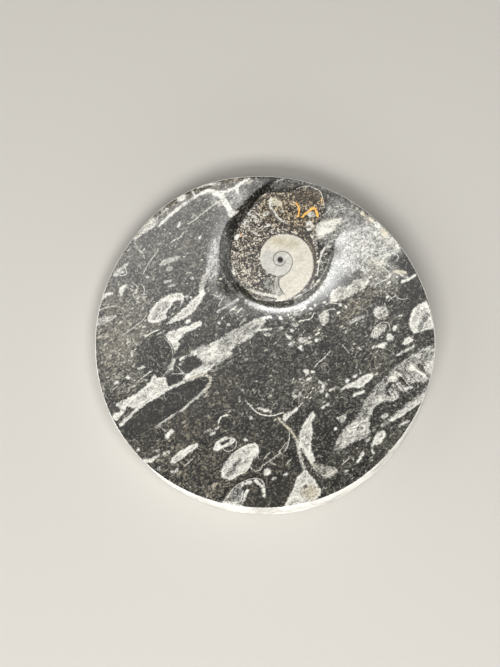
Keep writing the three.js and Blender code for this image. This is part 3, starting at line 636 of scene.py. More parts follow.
# soft patches by layer: value, softness in millimetres, kind and shapes
zones = {
    # darker ground, and painted shade on the mesa's flank left of the ammonite
    "dim": [
        (0.1, 12, "body", [
            [(-64, 24), (-52, 36), (-38, 48), (-18, 54), (-12, 40), (-18, 24), (-30, 10), (-35, -4),
             (-34, -12), (-46, -18), (-60, -16)]]),
        (0.7, 8, "body", [[(-42, -24), (-20, -12), (2, -14), (6, -30), (-8, -34), (-30, -33)]]),
        (0.65, 8, "body", [[(2, 7), (20, 5), (32, -4), (32, -16), (10, -10), (-4, -4)]]),
        (0, 5, "oval", [(39, -4, 7, 4, 10)]),
        # painted shade: the mesa's flank left of the ammonite
        (0.8, 1.5, "band", [
            (4.5, [(-9, 45), (-12.6, 40), (-13.6, 34), (-13.4, 28), (-11.8, 22), (-8, 17)])]),
        (0.85, 1.5, "body", straightShell),
        (0.9, 2, "body", [
            [(48, 14), (56, 12), (60, 18), (54, 31), (50, 34), (47, 31), (46, 26), (48, 20)]]),
        (1, 0.8, "body", darkPebbles),
        (0.15, 5, "body", [[(-42, -34), (-32, -46), (-18, -55), (-10, -52), (-16, -40), (-30, -34)]]),
        (0.2, 3, "body", warmPatch),
        (0.8, 1, "body", [[(12, 15), (19, 22), (20.5, 34), (24, 36), (24.6, 30), (22, 22), (16, 16)]]),
    ],
    # even mud with few bits in it, and painted shade on the flank at the ammonite's upper left
    "quietAndShaded": [
        (1, 1.2, "oval", [(-38.6, -4.6, 7.6, 6.2, 80)]),
        (1, 0.8, "body", darkPebbles),
        (1, 1, "body", straightShell),
        (0.8, 1.5, "oval", [(-29.5, -34, 2.5, 1.8, 20)]),
        (0.8, 2, "oval", [(-21.5, -46, 4.4, 4.2, 0)]),
        (0.9, 1, "oval", [(-12, -35.7, 2.4, 2.2, 0)]),
        (0.9, 3, "body", [[(0.5, -46), (10, -44), (9.5, -50), (7, -54), (6, -57), (-3, -57), (-2, -52)]]),
        (0.9, 2, "oval", [(10.4, -38, 4.6, 1.2, 100)]),
        (0.9, 3, "oval", [(20.5, -34, 7.5, 3.4, 80)]),
        (0.8, 2, "oval", [(2, -30, 4.2, 2.8, 0), (-14, 6.3, 6, 1.3, 8)]),
        (0.9, 1, "oval", [(3, 7.8, 3, 1.6, 10)]),
        (0.8, 1.5, "oval", [(16.5, 6.5, 2.6, 2.6, 0)]),
        (1, 1.5, "body", [
            [(48, 14), (56, 14), (57.5, 20), (54, 29), (50, 34), (47, 31), (46, 26), (48, 20)]]),
        (0.9, 1.5, "body", [
            [(3, 55), (12, 55.6), (17, 57.3), (22, 56.3), (30, 52.5), (31, 50), (26, 50), (22.5, 52),
             (20, 58), (12, 59.6), (4, 59.2)]]),
        (0.9, 0.6, "oval", [(8.5, 6, 1.2, 1.2, 0)]),
        (0.8, 1, "oval", [(-57.5, 10.8, 2, 1, 20)]),
        (0.9, 1.2, "body", [
            [(11.5, 51.5), (12.5, 54), (16, 56), (20, 54.6), (20.8, 51.6), (18, 50.6), (14, 50.2)]]),
        # painted shade: the flank on the ammonite's upper left, darker and without bits
        (1, 1.5, "body", [
            [(-14, 42), (-10, 47), (-6, 51), (-3, 54.5), (0, 57), (2, 59), (4, 61), (8, 59), (5, 57.5),
             (2, 55), (-2, 52), (-6, 47), (-9.8, 41)]]),
    ],
    # painted highlight: a pale haze laid into the colour where the polished face round the ammonite catches
    # the lamps, with the bright arc below it
    "paintedSheen": [
        (1, 6, "body", [
            [(27, 27), (32, 23), (40, 25), (45, 29), (49, 34), (42, 43), (36, 43), (30, 39), (27, 33)]]),
        (0.7, 3, "body", [
            [(22.5, 50), (28, 48.5), (33, 43), (31, 36), (25, 34), (20, 36), (19, 40), (23, 46.5)]]),
        (0.45, 3, "body", [[(22.5, 52.5), (30, 50), (34, 46.5), (34, 42), (28, 45), (24.5, 45.9)]]),
        (0.3, 3, "body", threadPatch),
        (0.1, 1.2, "oval", [(33, 24.5, 2.2, 1.5, 20)]),
        (0.1, 1, "oval", [(29.5, 22, 1.3, 0.9, 20)]),
        (0, 1, "body", [[(43.2, 28.2), (45.5, 30), (47.2, 31.2), (46.2, 28.6)]]),
        (0.9, 2, "body", [
            [(-19.5, 22), (-16.6, 23), (-16.4, 30), (-16.6, 37), (-18, 38), (-20, 32), (-20.5, 26)]]),
        (0.4, 2.5, "body", [[(-18, 22), (-12, 15), (-6, 11.5), (-8, 10), (-14, 13), (-19, 19)]]),
        # painted highlight: the bright arc where the bank below the ammonite catches the lamps
        (0.62, 1.6, "band", [
            ([0.5, 1, 1.4, 1.6, 1.6, 1.8, 2.2, 2.6, 2], [(-8.6, 18.1), (-5.4, 14.9), (-0.9, 12.7),
                (4.9, 11.8), (10.7, 12.7), (15.9, 15.4), (20.4, 19.6), (23.9, 25.3), (25.3, 31.1)])]),
        (0.28, 2, "body", [
            [(2, 55.5), (4, 58.5), (12, 60), (20, 58.5), (28, 55), (24, 54), (20, 56.5), (12, 57),
             (8, 55.5)]]),
        (0.5, 4, "body", [[(-22, 53), (-8, 56), (-5, 55), (-8, 50), (-15, 49)]]),
        (0.4, 0.8, "band", [
            (1.2, [(11.3, 14.7), (13.7, 15.9), (17.2, 18.3), (20.1, 21.3), (22.2, 25.1), (23.7, 29.6),
                (24.4, 32.8)])]),
    ],
    # browner
    "warm": [
        (0.6, 4, "body", [[(-22, -13), (-13, -7), (-7, -14), (-12, -24), (-24, -24), (-20, -16)]]),
        (0.6, 3, "body", [[(-40, 45), (-32, 53), (-20, 58.5), (-5, 61), (-3, 57), (-19, 55), (-35, 45)]]),
        (0.7, 3, "body", warmPatch),
        (0.8, 14, "body", [
            [(-55, -18), (-38, -20), (-18, -22), (0, -32), (14, -44), (18, -58), (-20, -58), (-48, -38)]]),
        (0.5, 8, "oval", [(-54, 5, 6, 16, 0)]),
        (0.9, 2, "oval", [(22.5, -45, 4.5, 3, -10)]),
        (0.3, 3, "body", [[(-13, 20), (-13, 34), (-8, 44), (4, 40), (0, 24), (5, 14)]]),
        (1, 5, "body", [[(-3, 52), (6, 55), (20, 56), (22, 48), (18, 38), (10, 41), (0, 42)]]),
        (0.9, 1, "body", [
            [(8, 42), (14, 40), (18.5, 34), (19, 27), (17, 20), (16.2, 22), (17.8, 28), (16, 36)]]),
        (0.7, 4, "body", [[(32, 50), (49, 34), (46, 32), (42, 38), (32, 46)]]),
    ],
    # crowded with broken shells
    "hash": [
        (0.8, 8, "body", [
            [(-62, 20), (-40, 20), (-36, 4), (-45, 0), (-44, -10), (-38, -12), (-46, -20), (-56, -20)]]),
        (1, 2, "body", [
            [(-40, 45), (-32, 53), (-20, 58.5), (-5, 61), (-3, 57), (-10, 56), (-19, 54.5), (-27, 51),
             (-35, 45)]]),
        (0.9, 5, "body", [[(32, 49), (49, 33), (46, 31), (42, 40), (34, 46)]]),
        (0.8, 3, "body", threadPatch),
        (0.45, 6, "body", [[(-38, -34), (-30, -46), (-18, -54), (-10, -50), (-16, -40), (-28, -33)]]),
        (0.4, 5, "oval", [(38, -5, 9, 6, 20)]),
        (0.75, 3, "body", warmPatch),
        (0.7, 3, "body", [[(7, 13), (22, 12), (20, 4), (14, -3), (9, 0), (6, 5)]]),
        (0.8, 4, "body", [[(12, -10), (20, -12), (24, -18), (14, -22), (9, -18)]]),
        (1, 1, "oval", [(6, 4.5, 2.4, 1.6, 0)]),
        (0.9, 1, "body", [
            [(19, 21), (20.5, 34), (24, 35.5), (24.4, 30), (22.4, 24), (19.5, 20)],
            [(10, 15.5), (14, 18), (18, 22), (20, 22), (16.5, 17.6), (12, 15)]]),
        (0.9, 3, "body", [[(36, 28), (44, 30), (52, 25), (52, 20), (44, 17), (34, 16), (34, 22)]]),
    ],
    # creamier shells
    "cream": [
        (0.7, 3, "oval", [(16, -52, 3, 2.5, 0)]),
        (0.5, 1, "body", [[(-28, -12), (-22, -10), (-18, -10), (-17.5, -13), (-20, -16.5), (-21, -13)]]),
        (0, 3, "body", innerWhorls),
        (0.75, 3, "oval", [(7, 36, 6, 1.6, -12)]),
    ],
    # brighter or duller shells
    "tone": [
        (0.9, 3, "body", [[(26, -37), (31, -35), (36, -32.5), (37, -28), (33, -26), (28, -31)]]),
        (0.95, 3, "body", [[(-25, -3.6), (-20, -0.4), (-15, -1), (-14, -4.5), (-19, -6), (-22, -5)]]),
        (0.5, 1, "oval", [(-11.8, -45, 2.4, 0.9, 40)]),
        (0.45, 0.8, "oval", [(-9.4, -42, 2.4, 0.6, 45)]),
        (0.66, 2, "body", innerWhorls),
        (1, 1.5, "body", [[(19, 36.5), (18.5, 41), (23, 44.5), (28, 44.8), (26, 41), (23, 38.5)]]),
    ],
    # clean outlines
    "crisp": [
        (1, 1.5, "oval", [(5.8, 28, 13.5, 14.5, 0)]),
        (0.7, 2, "oval", [(-49.5, 22, 5, 7, 0)]),
        (0.6, 2, "oval", [(-34, 30, 5, 3, 22)]),
        (0.5, 2, "body", [[(-40, 41), (-30, 52), (-20, 57), (-16, 56), (-19, 52), (-28, 47), (-36, 41)]]),
    ],
    # black: the ammonite's middle, and painted shade on the flank at its upper left
    "core": [
        (1, 0.5, "oval", [(5.9, 29.6, 1.05, 1.1, 0)]),
        # painted shade: the flank on the ammonite's upper left, darkened in the colour
        (0.6, 1.5, "body", [
            [(-6, 48.5), (-3.5, 52.5), (-1, 56), (2, 59.2), (5.5, 60.5), (6.5, 59.4), (3, 57), (0.5, 54.5),
             (-2, 51.5), (-4, 48)]]),
    ],
}

stone = makeStone()
mesh = bpy.data.meshes.new("fossilPlate")
stone.to_mesh(mesh)
stone.free()
pointCount = len(mesh.vertices)
places = np.empty(pointCount * 3, np.float32)
mesh.vertices.foreach_get("co", places)
places = places.reshape(-1, 3).astype(float)
shift = (places.min(axis=0) + places.max(axis=0)) / 2
placed = (places - (shift[0], shift[1], 0)) / 1000
mesh.vertices.foreach_set("co", placed.astype(np.float32).ravel())
mesh.update()
print("mesh centred and set to metres")

# brightness, creaminess, and the share broken by dark grains
tones = {
    "white": (0.82, 0.06, 0.28),
    "pale": (0.68, 0.1, 0.4),
    "grey": (0.5, 0.0, 0.4),
    "cream": (0.95, 0.7, 0.2),
    "speckled": (0.72, 0.3, 0.6),
    "streaky": (0.7, 0.05, 0.45),
    "chalky": (0.86, 0.2, 0.55),
    "shelly": (0.68, 0.08, 0.6),
    "shell": (0.83, 0.4, 0.0),
}
# the layer that a line is drawn into, and how strongly
lineKinds = {
    "white": ("thin", 1.0),
    "cream": ("thin", 0.85),
    "pale": ("thin", 0.7),
    "faint": ("thin", 0.4),
    "brown": ("seam", 0.7),
    "dark": ("seam", 1.0),
    "rust": ("rust", 1.0),
}
# millimetres
drawing = {
    "reach": 3.0,                # how far from a shape its distance is drawn
    "farAway": 1000.0,
    "toneMargin": 0.7,           # a shape's tone starts this far outside it,
    "toneSoftness": 0.4,
    "lineMargin": 0.55,          # and so does a line's strength, to be cut finer by the material
    "lineSoftness": 0.35,
    "creamReach": 1.5,           # how far a cream line tints the shells beside it
    "underside": 0.01,           # points below this height are on the underside
}
reach = drawing["reach"]
farAway = drawing["farAway"]
# what each layer holds before anything is drawn; "side" is the distance to a thin
# line in its own widths, by side, and the black layer holds the ammonite's black
# middle and painted shade on the flank at its upper left
blank = {
    "tone": 0, "cream": 0, "broken": 0, "thin": 0, "seam": 0, "rust": 0, "quietAndShaded": 0, "paintedSheen": 0, "warm": 0,
    "core": 0, "crisp": 0, "hash": 0.2, "dim": 0.6, "calcite": -reach, "mud": -reach, "side": 9,
}
layers = {name: np.full(pointCount, float(value)) for name, value in blank.items()}
lineGap = np.full(pointCount, farAway)
# the underside is left out of the drawing, its shells come from the material
px = np.where(places[:, 2] < drawing["underside"], farAway, places[:, 0])
py = places[:, 1]


def easeCorners(points, closed):
    # rounds a chain of points by cutting its corners twice
    chain = np.array(points, float)
    for _ in range(2):
        ahead = np.roll(chain, -1, axis=0)
        cut = np.empty((2 * len(chain), chain.shape[1]))
        cut[0::2] = chain * 0.75 + ahead * 0.25
        cut[1::2] = chain * 0.25 + ahead * 0.75
        if not closed:
            cut = np.concatenate([chain[:1], cut[1:-3], chain[-1:]]) if len(chain) > 2 else chain
        chain = cut
    return chain


def nearby(points, extra):
    # the points of the mesh in a box around some points
    low, high = points[:, :2].min(axis=0) - extra, points[:, :2].max(axis=0) + extra
    return np.flatnonzero((px > low[0]) & (px < high[0]) & (py > low[1]) & (py < high[1]))


def chainDistance(near, chain):
    # distance to a chain of short straight pieces, less its half width if it has
    # one, and which side of the chain each point is on
    best = np.full(len(near), farAway)
    side = np.ones(len(near))
    for start, end in zip(chain[:-1], chain[1:]):
        dx, dy = px[near] - start[0], py[near] - start[1]
        step = end[:2] - start[:2]
        along = np.clip((dx * step[0] + dy * step[1]) / max(step @ step, 1e-9), 0, 1)
        gap = np.hypot(dx - along * step[0], dy - along * step[1])
        if len(start) > 2:
            gap = gap - (start[2] + (end[2] - start[2]) * along) / 2
        turn = step[0] * dy - step[1] * dx
        side = np.where(gap < best, np.where(turn < 0, -1, 1), side)
        best = np.minimum(best, gap)
    return best, side


def depthInside(kind, shape):
    # the points near a shape and how deep inside it each lies, negative outside
    if kind == "oval":
        x, y, long, wide, degrees = shape
        near = nearby(np.array([[x, y]]), max(long, wide) + reach)
        turn = math.radians(degrees)
        dx, dy = px[near] - x, py[near] - y
        u = (dx * math.cos(turn) + dy * math.sin(turn)) / long
        v = (dy * math.cos(turn) - dx * math.sin(turn)) / wide
        part = np.hypot(u, v) + 1e-6
        return near, (1 - part) * part / np.hypot(u / long, v / wide)
    if kind == "band":
        width, points = shape
        widths = width if isinstance(width, list) else [width] * len(points)
        chain = easeCorners([(*point, size) for point, size in zip(points, widths)], False)
        near = nearby(chain, reach)
        return near, -chainDistance(near, chain)[0]
    chain = easeCorners(shape, True)
    chain = np.concatenate([chain, chain[:1]])
    near = nearby(chain, reach)
    gap = chainDistance(near, chain)[0]
    inside = np.zeros(len(near), bool)
    for start, end in zip(chain[:-1], chain[1:]):
        crosses = (start[1] > py[near]) != (end[1] > py[near])
        rise = end[1] - start[1]
        across = start[0] + (py[near] - start[1]) * (end[0] - start[0]) / (rise if rise else 1)
        inside ^= crosses & (px[near] < across)
    return near, np.where(inside, gap, -gap)


def moveTo(name, near, value, weight):
    # moves a layer towards a value, by a weight for each point
    layers[name][near] += (value - layers[name][near]) * weight


def raiseTo(name, near, values):
    layers[name][near] = np.maximum(layers[name][near], values)


for kind, tone, shapes in fossils + ammonite:
    for shape in shapes:
        near, depth = depthInside(kind, shape)
        depth = np.clip(depth, -reach, reach)
        if tone in ("matrix", "mud"):
            layers["calcite"][near] = np.minimum(layers["calcite"][near], -depth)
        else:
            raiseTo("calcite", near, depth)
            weight = np.clip((depth + drawing["toneMargin"]) / drawing["toneSoftness"], 0, 1)
            for name, value in zip(("tone", "cream", "broken"), tones[tone]):
                moveTo(name, near, value, weight)
        if tone == "mud":
            raiseTo("mud", near, depth)
for kind, width, courses in lines:
    layer, strength = lineKinds[kind]
    for points in courses:
        chain = easeCorners(points, False)
        near = nearby(chain, reach)
        gap, side = chainDistance(near, chain)
        cover = np.clip((drawing["lineMargin"] + width / 2 - gap) / drawing["lineSoftness"], 0, 1)
        raiseTo(layer, near, cover * strength)
        closer = gap < lineGap[near]
        layers["side"][near] = np.where(closer, side * gap / width, layers["side"][near])
        lineGap[near] = np.minimum(lineGap[near], gap)
        if kind == "cream":
            raiseTo("cream", near, np.clip(drawing["creamReach"] - gap, 0, 1))
for layer, rows in zones.items():
    for value, softness, kind, shapes in rows:
        for shape in shapes:
            near, depth = depthInside(kind, shape)
            weight = np.clip(0.5 + depth / softness, 0, 1)
            moveTo(layer, near, value, weight * weight * (3 - 2 * weight))

# how far outside the edge of the polished face each point lies
edgeTurn = np.degrees(np.arctan2(places[:, 1], places[:, 0]))
layers["rim"] = np.hypot(places[:, 0], places[:, 1]) - edgeRadius(edgeTurn)
for name, values in layers.items():
    kept = mesh.attributes.new(name, "FLOAT", "POINT")
    kept.data.foreach_set("value", values.astype(np.float32))
print("fossils drawn into", len(layers), "layers")


def srgb(code):
    # "#rrggbb" to linear red, green, blue and full alpha
    parts = [int(code[index:index + 2], 16) / 255 for index in (1, 3, 5)]
    return [part / 12.92 if part <= 0.04045 else ((part + 0.055) / 1.055) ** 2.4 for part in parts] + [1]


def addNode(tree, kind, links=None, result=0, **settings):
    # adds one node, sets it, links it, and gives back the output asked for
    node = tree.nodes.new(kind)
    for name, value in settings.items():
        setattr(node, name, value)
    for socket, value in (links or {}).items():
        if isinstance(value, bpy.types.NodeSocket):
            tree.links.new(value, node.inputs[socket])
        else:
            node.inputs[socket].default_value = value
    return node.outputs[result]


# Black fossil limestone, sawn and then polished: dense dark lime mud that takes
# a soft polish, full of white calcite shells, so the eye gets crisp pale shapes
# in a near-black ground with a grey bloom where the face turns to the lamp.
stoneLook = {
    "beddingTurn": -35,              # the grains lie from lower left to upper right
    "beddingStretch": 0.5,
    # noise textures: grain size in mm, detail, roughness, along the bedding or not;
    # real lime mud is far finer than 0.1 mm, too fine to show, so no pattern here
    # is finer than 0.35 mm before its detail
    "noises": {
        "cloud": (9.0, 3, 0.5, False),
        "patch": (2.6, 4, 0.6, True),
        "mottle": (1.5, 5, 0.68, True),
        "edgeCoarse": (2.0, 2, 0.5, False),
        "edgeFine": (0.65, 3, 0.6, False),
        "fine": (0.7, 3, 0.65, True),
        "wisp": (2.4, 3, 0.55, False),
        "wispCut": (1.6, 2, 0.5, False),
        "grit": (0.35, 2, 0.6, False),
        "flake": (0.8, 4, 0.7, True),
        "warp": (0.9, 2, 0.5, False),
        "hair": (5.0, 3, 0.45, False),
        "speck": (0.7, 3, 0.65, False),
    },
    "grainSize": 0.46,               # grains of the mud, mm, drawn as coarse as they need to show
    # broken shell bits: cell size in mm and the bit's share of its cell
    "bits": {"smallBits": (0.75, 0.30), "largeBits": (1.9, 0.23), "wholeShells": (7.5, 0.27)},
    "bitRim": (0.235, 0.115),        # where a bit's soft rim starts and ends, beyond that share
    "bitPick": (0.93, 1.1),          # how full the ground must be for a cell to hold a bit
    "bitWarp": (1.1, 1.1, 0),        # mm
    # lines along the middle level of a noise: how far off it they end, and are full
    "contours": {
        "threadRidge": ("wisp", 0.03, 0.008),
        "hairRidge": ("hair", 0.014, 0.004),
        "crackRidge": ("patch", 0.03, 0.005),
    },
    # sums of noises, each centred on nought
    "sums": {
        "raggedness": {"edgeCoarse": 1.1, "edgeFine": 1.2, "grit": 0.9, "flake": 1.6},
        "shellTone": {"mottle": 0.9, "patch": 0.8, "grit": 1.2, "fine": 1.0},
        "mudTone": {"speck": 1.2, "mottle": 0.7, "grit": 1.0, "edgeCoarse": 0.7},
    },
    # colour by brightness
    "ramps": {
        "shell": [(0, "#1c1b19"), (0.2, "#3f3e3a"), (0.4, "#676661"), (0.65, "#93918a"), (0.95, "#b9b7af")],
        "mud": [(0, "#0a0907"), (0.3, "#18140f"), (0.48, "#342e26"), (0.7, "#68625a"), (0.95, "#b0aba0")],
    },
    "colours": {
        "groundDark": "#070603",
        "groundLight": "#57544a",
        "groundStreak": "#69665b",
        "groundBrown": "#6a5f4e",
        "bitDull": "#605e55",
        "bitBright": "#bcb9ac",
        "bitWarm": "#7d7362",
        "creamTint": "#d6ccb2",
        "mudBrown": "#e9dcc3",
        # painted highlight: the pale haze round the ammonite
        "paintedSheenWhite": "#adaca6",
        "lineWhite": "#bdbab0",
        # dark seams, and painted shadow lines by the ammonite's shell
        "seamBrown": "#241c16",
        "ironOxide": "#c8953f",
        "wallPale": "#d6d3cc",
        "wallDull": "#a9a69e",
        "sawnGrey": "#77756f",
    },
    "ior": 1.55,
    "polish": (0.22, 0.33),
    "mudRoughness": 0.36,            # the soft mud takes less of a polish
    "sawnRoughness": 0.8,
    "sawnHeight": (0.5, 0.3),        # the saw's surface fades in below these heights, mm
    # height of the grain left by polishing and by rough grinding, mm
    "faceRelief": {"fine": 0.007, "grit": 0.007, "mottle": 0.012},
    "wallRelief": {"patch": 0.5, "edgeFine": 0.2, "grit": 0.06},
    "calciteStep": 0.012,            # shells wear slower than mud and stand proud
}
material = bpy.data.materials.new("blackFossilLimestonePolished")
material.use_nodes = True
tree = material.node_tree
shader = tree.nodes["Principled BSDF"]
millimetres = addNode(tree, "ShaderNodeMapping", {
    "Vector": addNode(tree, "ShaderNodeTexCoord", result="Object"),
    "Scale": (1000, 1000, 1000),
})
turned = addNode(tree, "ShaderNodeMapping", {
    "Vector": millimetres, "Rotation": (0, 0, math.radians(stoneLook["beddingTurn"])),
})
bedded = addNode(tree, "ShaderNodeMapping", {"Vector": turned, "Scale": (stoneLook["beddingStretch"], 1, 1)})

# all that the material works with, by name: drawn layers, noises, cells, colours,
# and then what the steps below make of them
signal = {name: srgb(code) for name, code in stoneLook["colours"].items()}
for name in layers:
    signal[name] = addNode(tree, "ShaderNodeAttribute", attribute_name=name, result="Fac")
for name, (size, detail, rough, along) in stoneLook["noises"].items():
    signal[name] = addNode(tree, "ShaderNodeTexNoise", {
        "Vector": bedded if along else millimetres, "Scale": 1 / size, "Detail": detail, "Roughness": rough,
    })
signal["height"] = addNode(tree, "ShaderNodeSeparateXYZ", {0: millimetres}, result=2)
grains = addNode(tree, "ShaderNodeTexVoronoi", {
    "Vector": millimetres, "Scale": 1 / stoneLook["grainSize"],
}, result="Color")
signal["grains"] = addNode(tree, "ShaderNodeSeparateColor", {0: grains})
warped = addNode(tree, "ShaderNodeVectorMath", {
    0: signal["warp"].node.outputs["Color"], 1: stoneLook["bitWarp"], 2: bedded,
}, operation="MULTIPLY_ADD")

# each step is the name of its result, what it does, and the names or values it
# does it with; RANGE and SMOOTH run from nought to one between two levels
steps = [
    # how full of bits the ground is: more in shell hash and under the painted highlight, fewer in quiet mud
    # and under painted shade
    ("sawn", "RANGE", "height", *stoneLook["sawnHeight"]),
    ("fullness", "ADD", "cloud", "hash"),
    ("fullness", "MULTIPLY_ADD", "quietAndShaded", -0.75, "fullness"),
    ("fullness", "MULTIPLY_ADD", "paintedSheen", 0.15, "fullness"),
    ("fullness", "MULTIPLY_ADD", "patch", 0.9, "fullness"),
    ("fullness", "MULTIPLY_ADD", "sawn", 0.5, "fullness"),
    ("fullness", "ADD", "fullness", -1.05),
]
for name, (size, share) in stoneLook["bits"].items():
    cells = addNode(tree, "ShaderNodeTexVoronoi", {"Vector": warped, "Scale": 1 / size}, result="Distance")
    cellColour = addNode(tree, "ShaderNodeSeparateColor", {0: cells.node.outputs["Color"]})
    signal[name] = cells
    signal[name + "Pick"] = cellColour
    signal[name + "Tone"] = cellColour.node.outputs[1]
    steps += [
        (name, "MULTIPLY_ADD", "edgeFine", 0.35, name),
        (name, "SMOOTH", name, share + stoneLook["bitRim"][0], share + stoneLook["bitRim"][1]),
        (name + "Pick", "ADD", name + "Pick", "fullness"),
        (name + "Pick", "RANGE", name + "Pick", *stoneLook["bitPick"]),
        (name, "MULTIPLY", name, name + "Pick"),
    ]
for name, (source, faint, full) in stoneLook["contours"].items():
    steps += [(name, "SUBTRACT", source, 0.5), (name, "ABSOLUTE", name), (name, "RANGE", name, faint, full)]
for name, parts in stoneLook["sums"].items():
    total = -0.5 * sum(parts.values())
    for source, part in parts.items():
        steps.append((name, "MULTIPLY_ADD", source, part, total))
        total = name
steps += [
    # thin curled threads and long hairlines, the edges of thin shells, are cut short
    ("threadCut", "MULTIPLY_ADD", "fullness", 0.22, "wispCut"),
    ("threadCut", "RANGE", "threadCut", 0.58, 0.68),
    ("threads", "MULTIPLY", "threadRidge", "threadCut"),
    ("hairCut", "RANGE", "wispCut", 0.46, 0.56),
    ("hairlines", "MULTIPLY", "hairRidge", "hairCut"),
    # a shell's outline is ragged, most so in a broken one and least in the ammonite
    ("loose", "MULTIPLY_ADD", "crisp", -0.75, 1),
    ("feather", "MULTIPLY_ADD", "broken", 1.1, 0.7),
    ("feather", "MULTIPLY", "feather", "loose"),
    ("outline", "MULTIPLY_ADD", "raggedness", "feather", "calcite"),
    ("shellArea", "SMOOTH", "outline", -0.4, 0.5),
    ("shellWall", "SMOOTH", "outline", 0.9, 0.2),
    ("darkEdge", "SMOOTH", "outline", -0.7, -0.15),
    # a drawn line wanders about its course
    ("wobble", "SUBTRACT", "edgeFine", 0.5),
    ("wobble", "MULTIPLY", "wobble", "loose"),
    ("lineSide", "MULTIPLY_ADD", "wobble", 2.2, "side"),
    ("lineSide", "ABSOLUTE", "lineSide"),
    ("lineSide", "RANGE", "lineSide", 0.55, 0.2),
    # the ground: dark grains, darker where it is dim, quiet or under painted shade, and a few bright ones
    ("groundGrain", "ADD", "fine", "speck"),
    ("groundGrain", "MULTIPLY_ADD", "dim", -0.16, "groundGrain"),
    ("groundGrain", "MULTIPLY_ADD", "quietAndShaded", -0.14, "groundGrain"),
    ("sparks", "RANGE", "grains", 0.62, 1, -0.16, 0.75),
    ("groundGrain", "ADD", "sparks", "groundGrain"),
    ("groundGrain", "SMOOTH", "groundGrain", 0.95, 1.32),
    ("groundCloud", "SMOOTH", "cloud", 0.35, 0.65),
    ("streaks", "MULTIPLY_ADD", "fullness", 0.16, "flake"),
    ("streaks", "SMOOTH", "streaks", 0.53, 0.7),
    ("wallGrime", "ADD", "mottle", "cloud"),
    ("wallGrime", "SMOOTH", "wallGrime", 0.9, 1.25),
]
# areas and lines with a ragged edge: how ragged, the drawn layer, and its two levels
for name, ragged, layer, low, high in (
    ("mudArea", 0.8, "mud", 0.3, 0.5),
    ("thinLine", 0.9, "thin", 0.72, 1.5),
    ("oxide", 0.5, "rust", 0.6, 1.1),
    ("seamLine", 0, "seam", 0, 1),
    ("wall", 0.5, "rim", 0.34, 0.46),
):
    steps += [(name, "MULTIPLY_ADD", "edgeFine", ragged, layer), (name, "SMOOTH", name, low, high)]
for name in ("thinLine", "oxide", "seamLine"):
    steps.append((name, "MULTIPLY", name, "lineSide"))
steps += [
    # brightness inside a shell: mottled, cracked, greyer where broken, bright at its wall
    ("singleGrain", "SUBTRACT", "grains", 0.5),
    ("shellTone", "MULTIPLY_ADD", "singleGrain", 0.32, "shellTone"),
    ("mild", "MULTIPLY_ADD", "crisp", -0.72, 1),
    ("shellTone", "MULTIPLY_ADD", "shellTone", "mild", "tone"),
    ("wholeWall", "RANGE", "broken", 0.28, 0.5, 0.28, 0.04),
    ("wholeWall", "MULTIPLY", "wholeWall", "loose"),
    ("shellTone", "MULTIPLY_ADD", "shellWall", "wholeWall", "shellTone"),
    ("crack", "MULTIPLY_ADD", "crisp", -0.8, 1),
    ("crack", "MULTIPLY", "crack", "crackRidge"),
    ("shellTone", "MULTIPLY_ADD", "crack", -0.2, "shellTone"),
    ("grime", "SMOOTH", "fine", 0.4, 0.62),
    ("grime", "MULTIPLY", "grime", "broken"),
    ("shellTone", "MULTIPLY_ADD", "grime", -0.75, "shellTone"),
    # brightness of the brown mud: strong flecks from grains and threads
    ("mudTone", "MULTIPLY_ADD", "grains", 0.8, "mudTone"),
    ("mudTone", "MULTIPLY_ADD", "threadRidge", 0.25, "mudTone"),
    ("mudTone", "ADD", "mudTone", 0.06),
    ("mudCalm", "MULTIPLY", "quietAndShaded", 0.6),
    ("mudTone", "MIX", "mudCalm", "mudTone", 0.5),
    # the painted highlight: a pale haze of grains and threads where the face catches the lamps
    ("paintedSheenGrain", "ADD", "speck", "mottle"),
    ("paintedSheenGrain", "MULTIPLY_ADD", "singleGrain", 0.5, "paintedSheenGrain"),
    ("paintedSheenGrain", "MULTIPLY_ADD", "paintedSheenGrain", 1.8, -1.15),
    ("paintedSheenGrain", "MULTIPLY", "paintedSheenGrain", "paintedSheen"),
    ("paintedSheenGrain", "RANGE", "paintedSheenGrain", 0, 1),
    ("paintedSheenThreads", "MULTIPLY", "threads", "paintedSheen"),
    # the side wall and the sawn underside, where whole shells show
    ("unpolished", "MAXIMUM", "wall", "sawn"),
    ("wall", "SUBTRACT", "wall", "sawn"),
    ("wall", "RANGE", "wall", 0, 1),
    ("wholeShells", "MULTIPLY", "wholeShells", "sawn"),
    ("polish", "RANGE", "mottle", 0, 1, *stoneLook["polish"]),
    ("bareMud", "MULTIPLY_ADD", "shellArea", -1, 1),
    ("bareMud", "MULTIPLY", "bareMud", "mudArea"),
    ("roughness", "MIX", "bareMud", "polish", stoneLook["mudRoughness"]),
    ("roughness", "MIX", "unpolished", "roughness", stoneLook["sawnRoughness"]),
    ("shellStep", "MULTIPLY", "shellArea", stoneLook["calciteStep"]),
]
for surface, total in (("faceRelief", "shellStep"), ("wallRelief", 0)):
    for source, height in stoneLook[surface].items():
        steps.append((surface, "MULTIPLY_ADD", source, height, total))
        total = surface
steps.append(("relief", "MIX", "unpolished", "faceRelief", "wallRelief"))

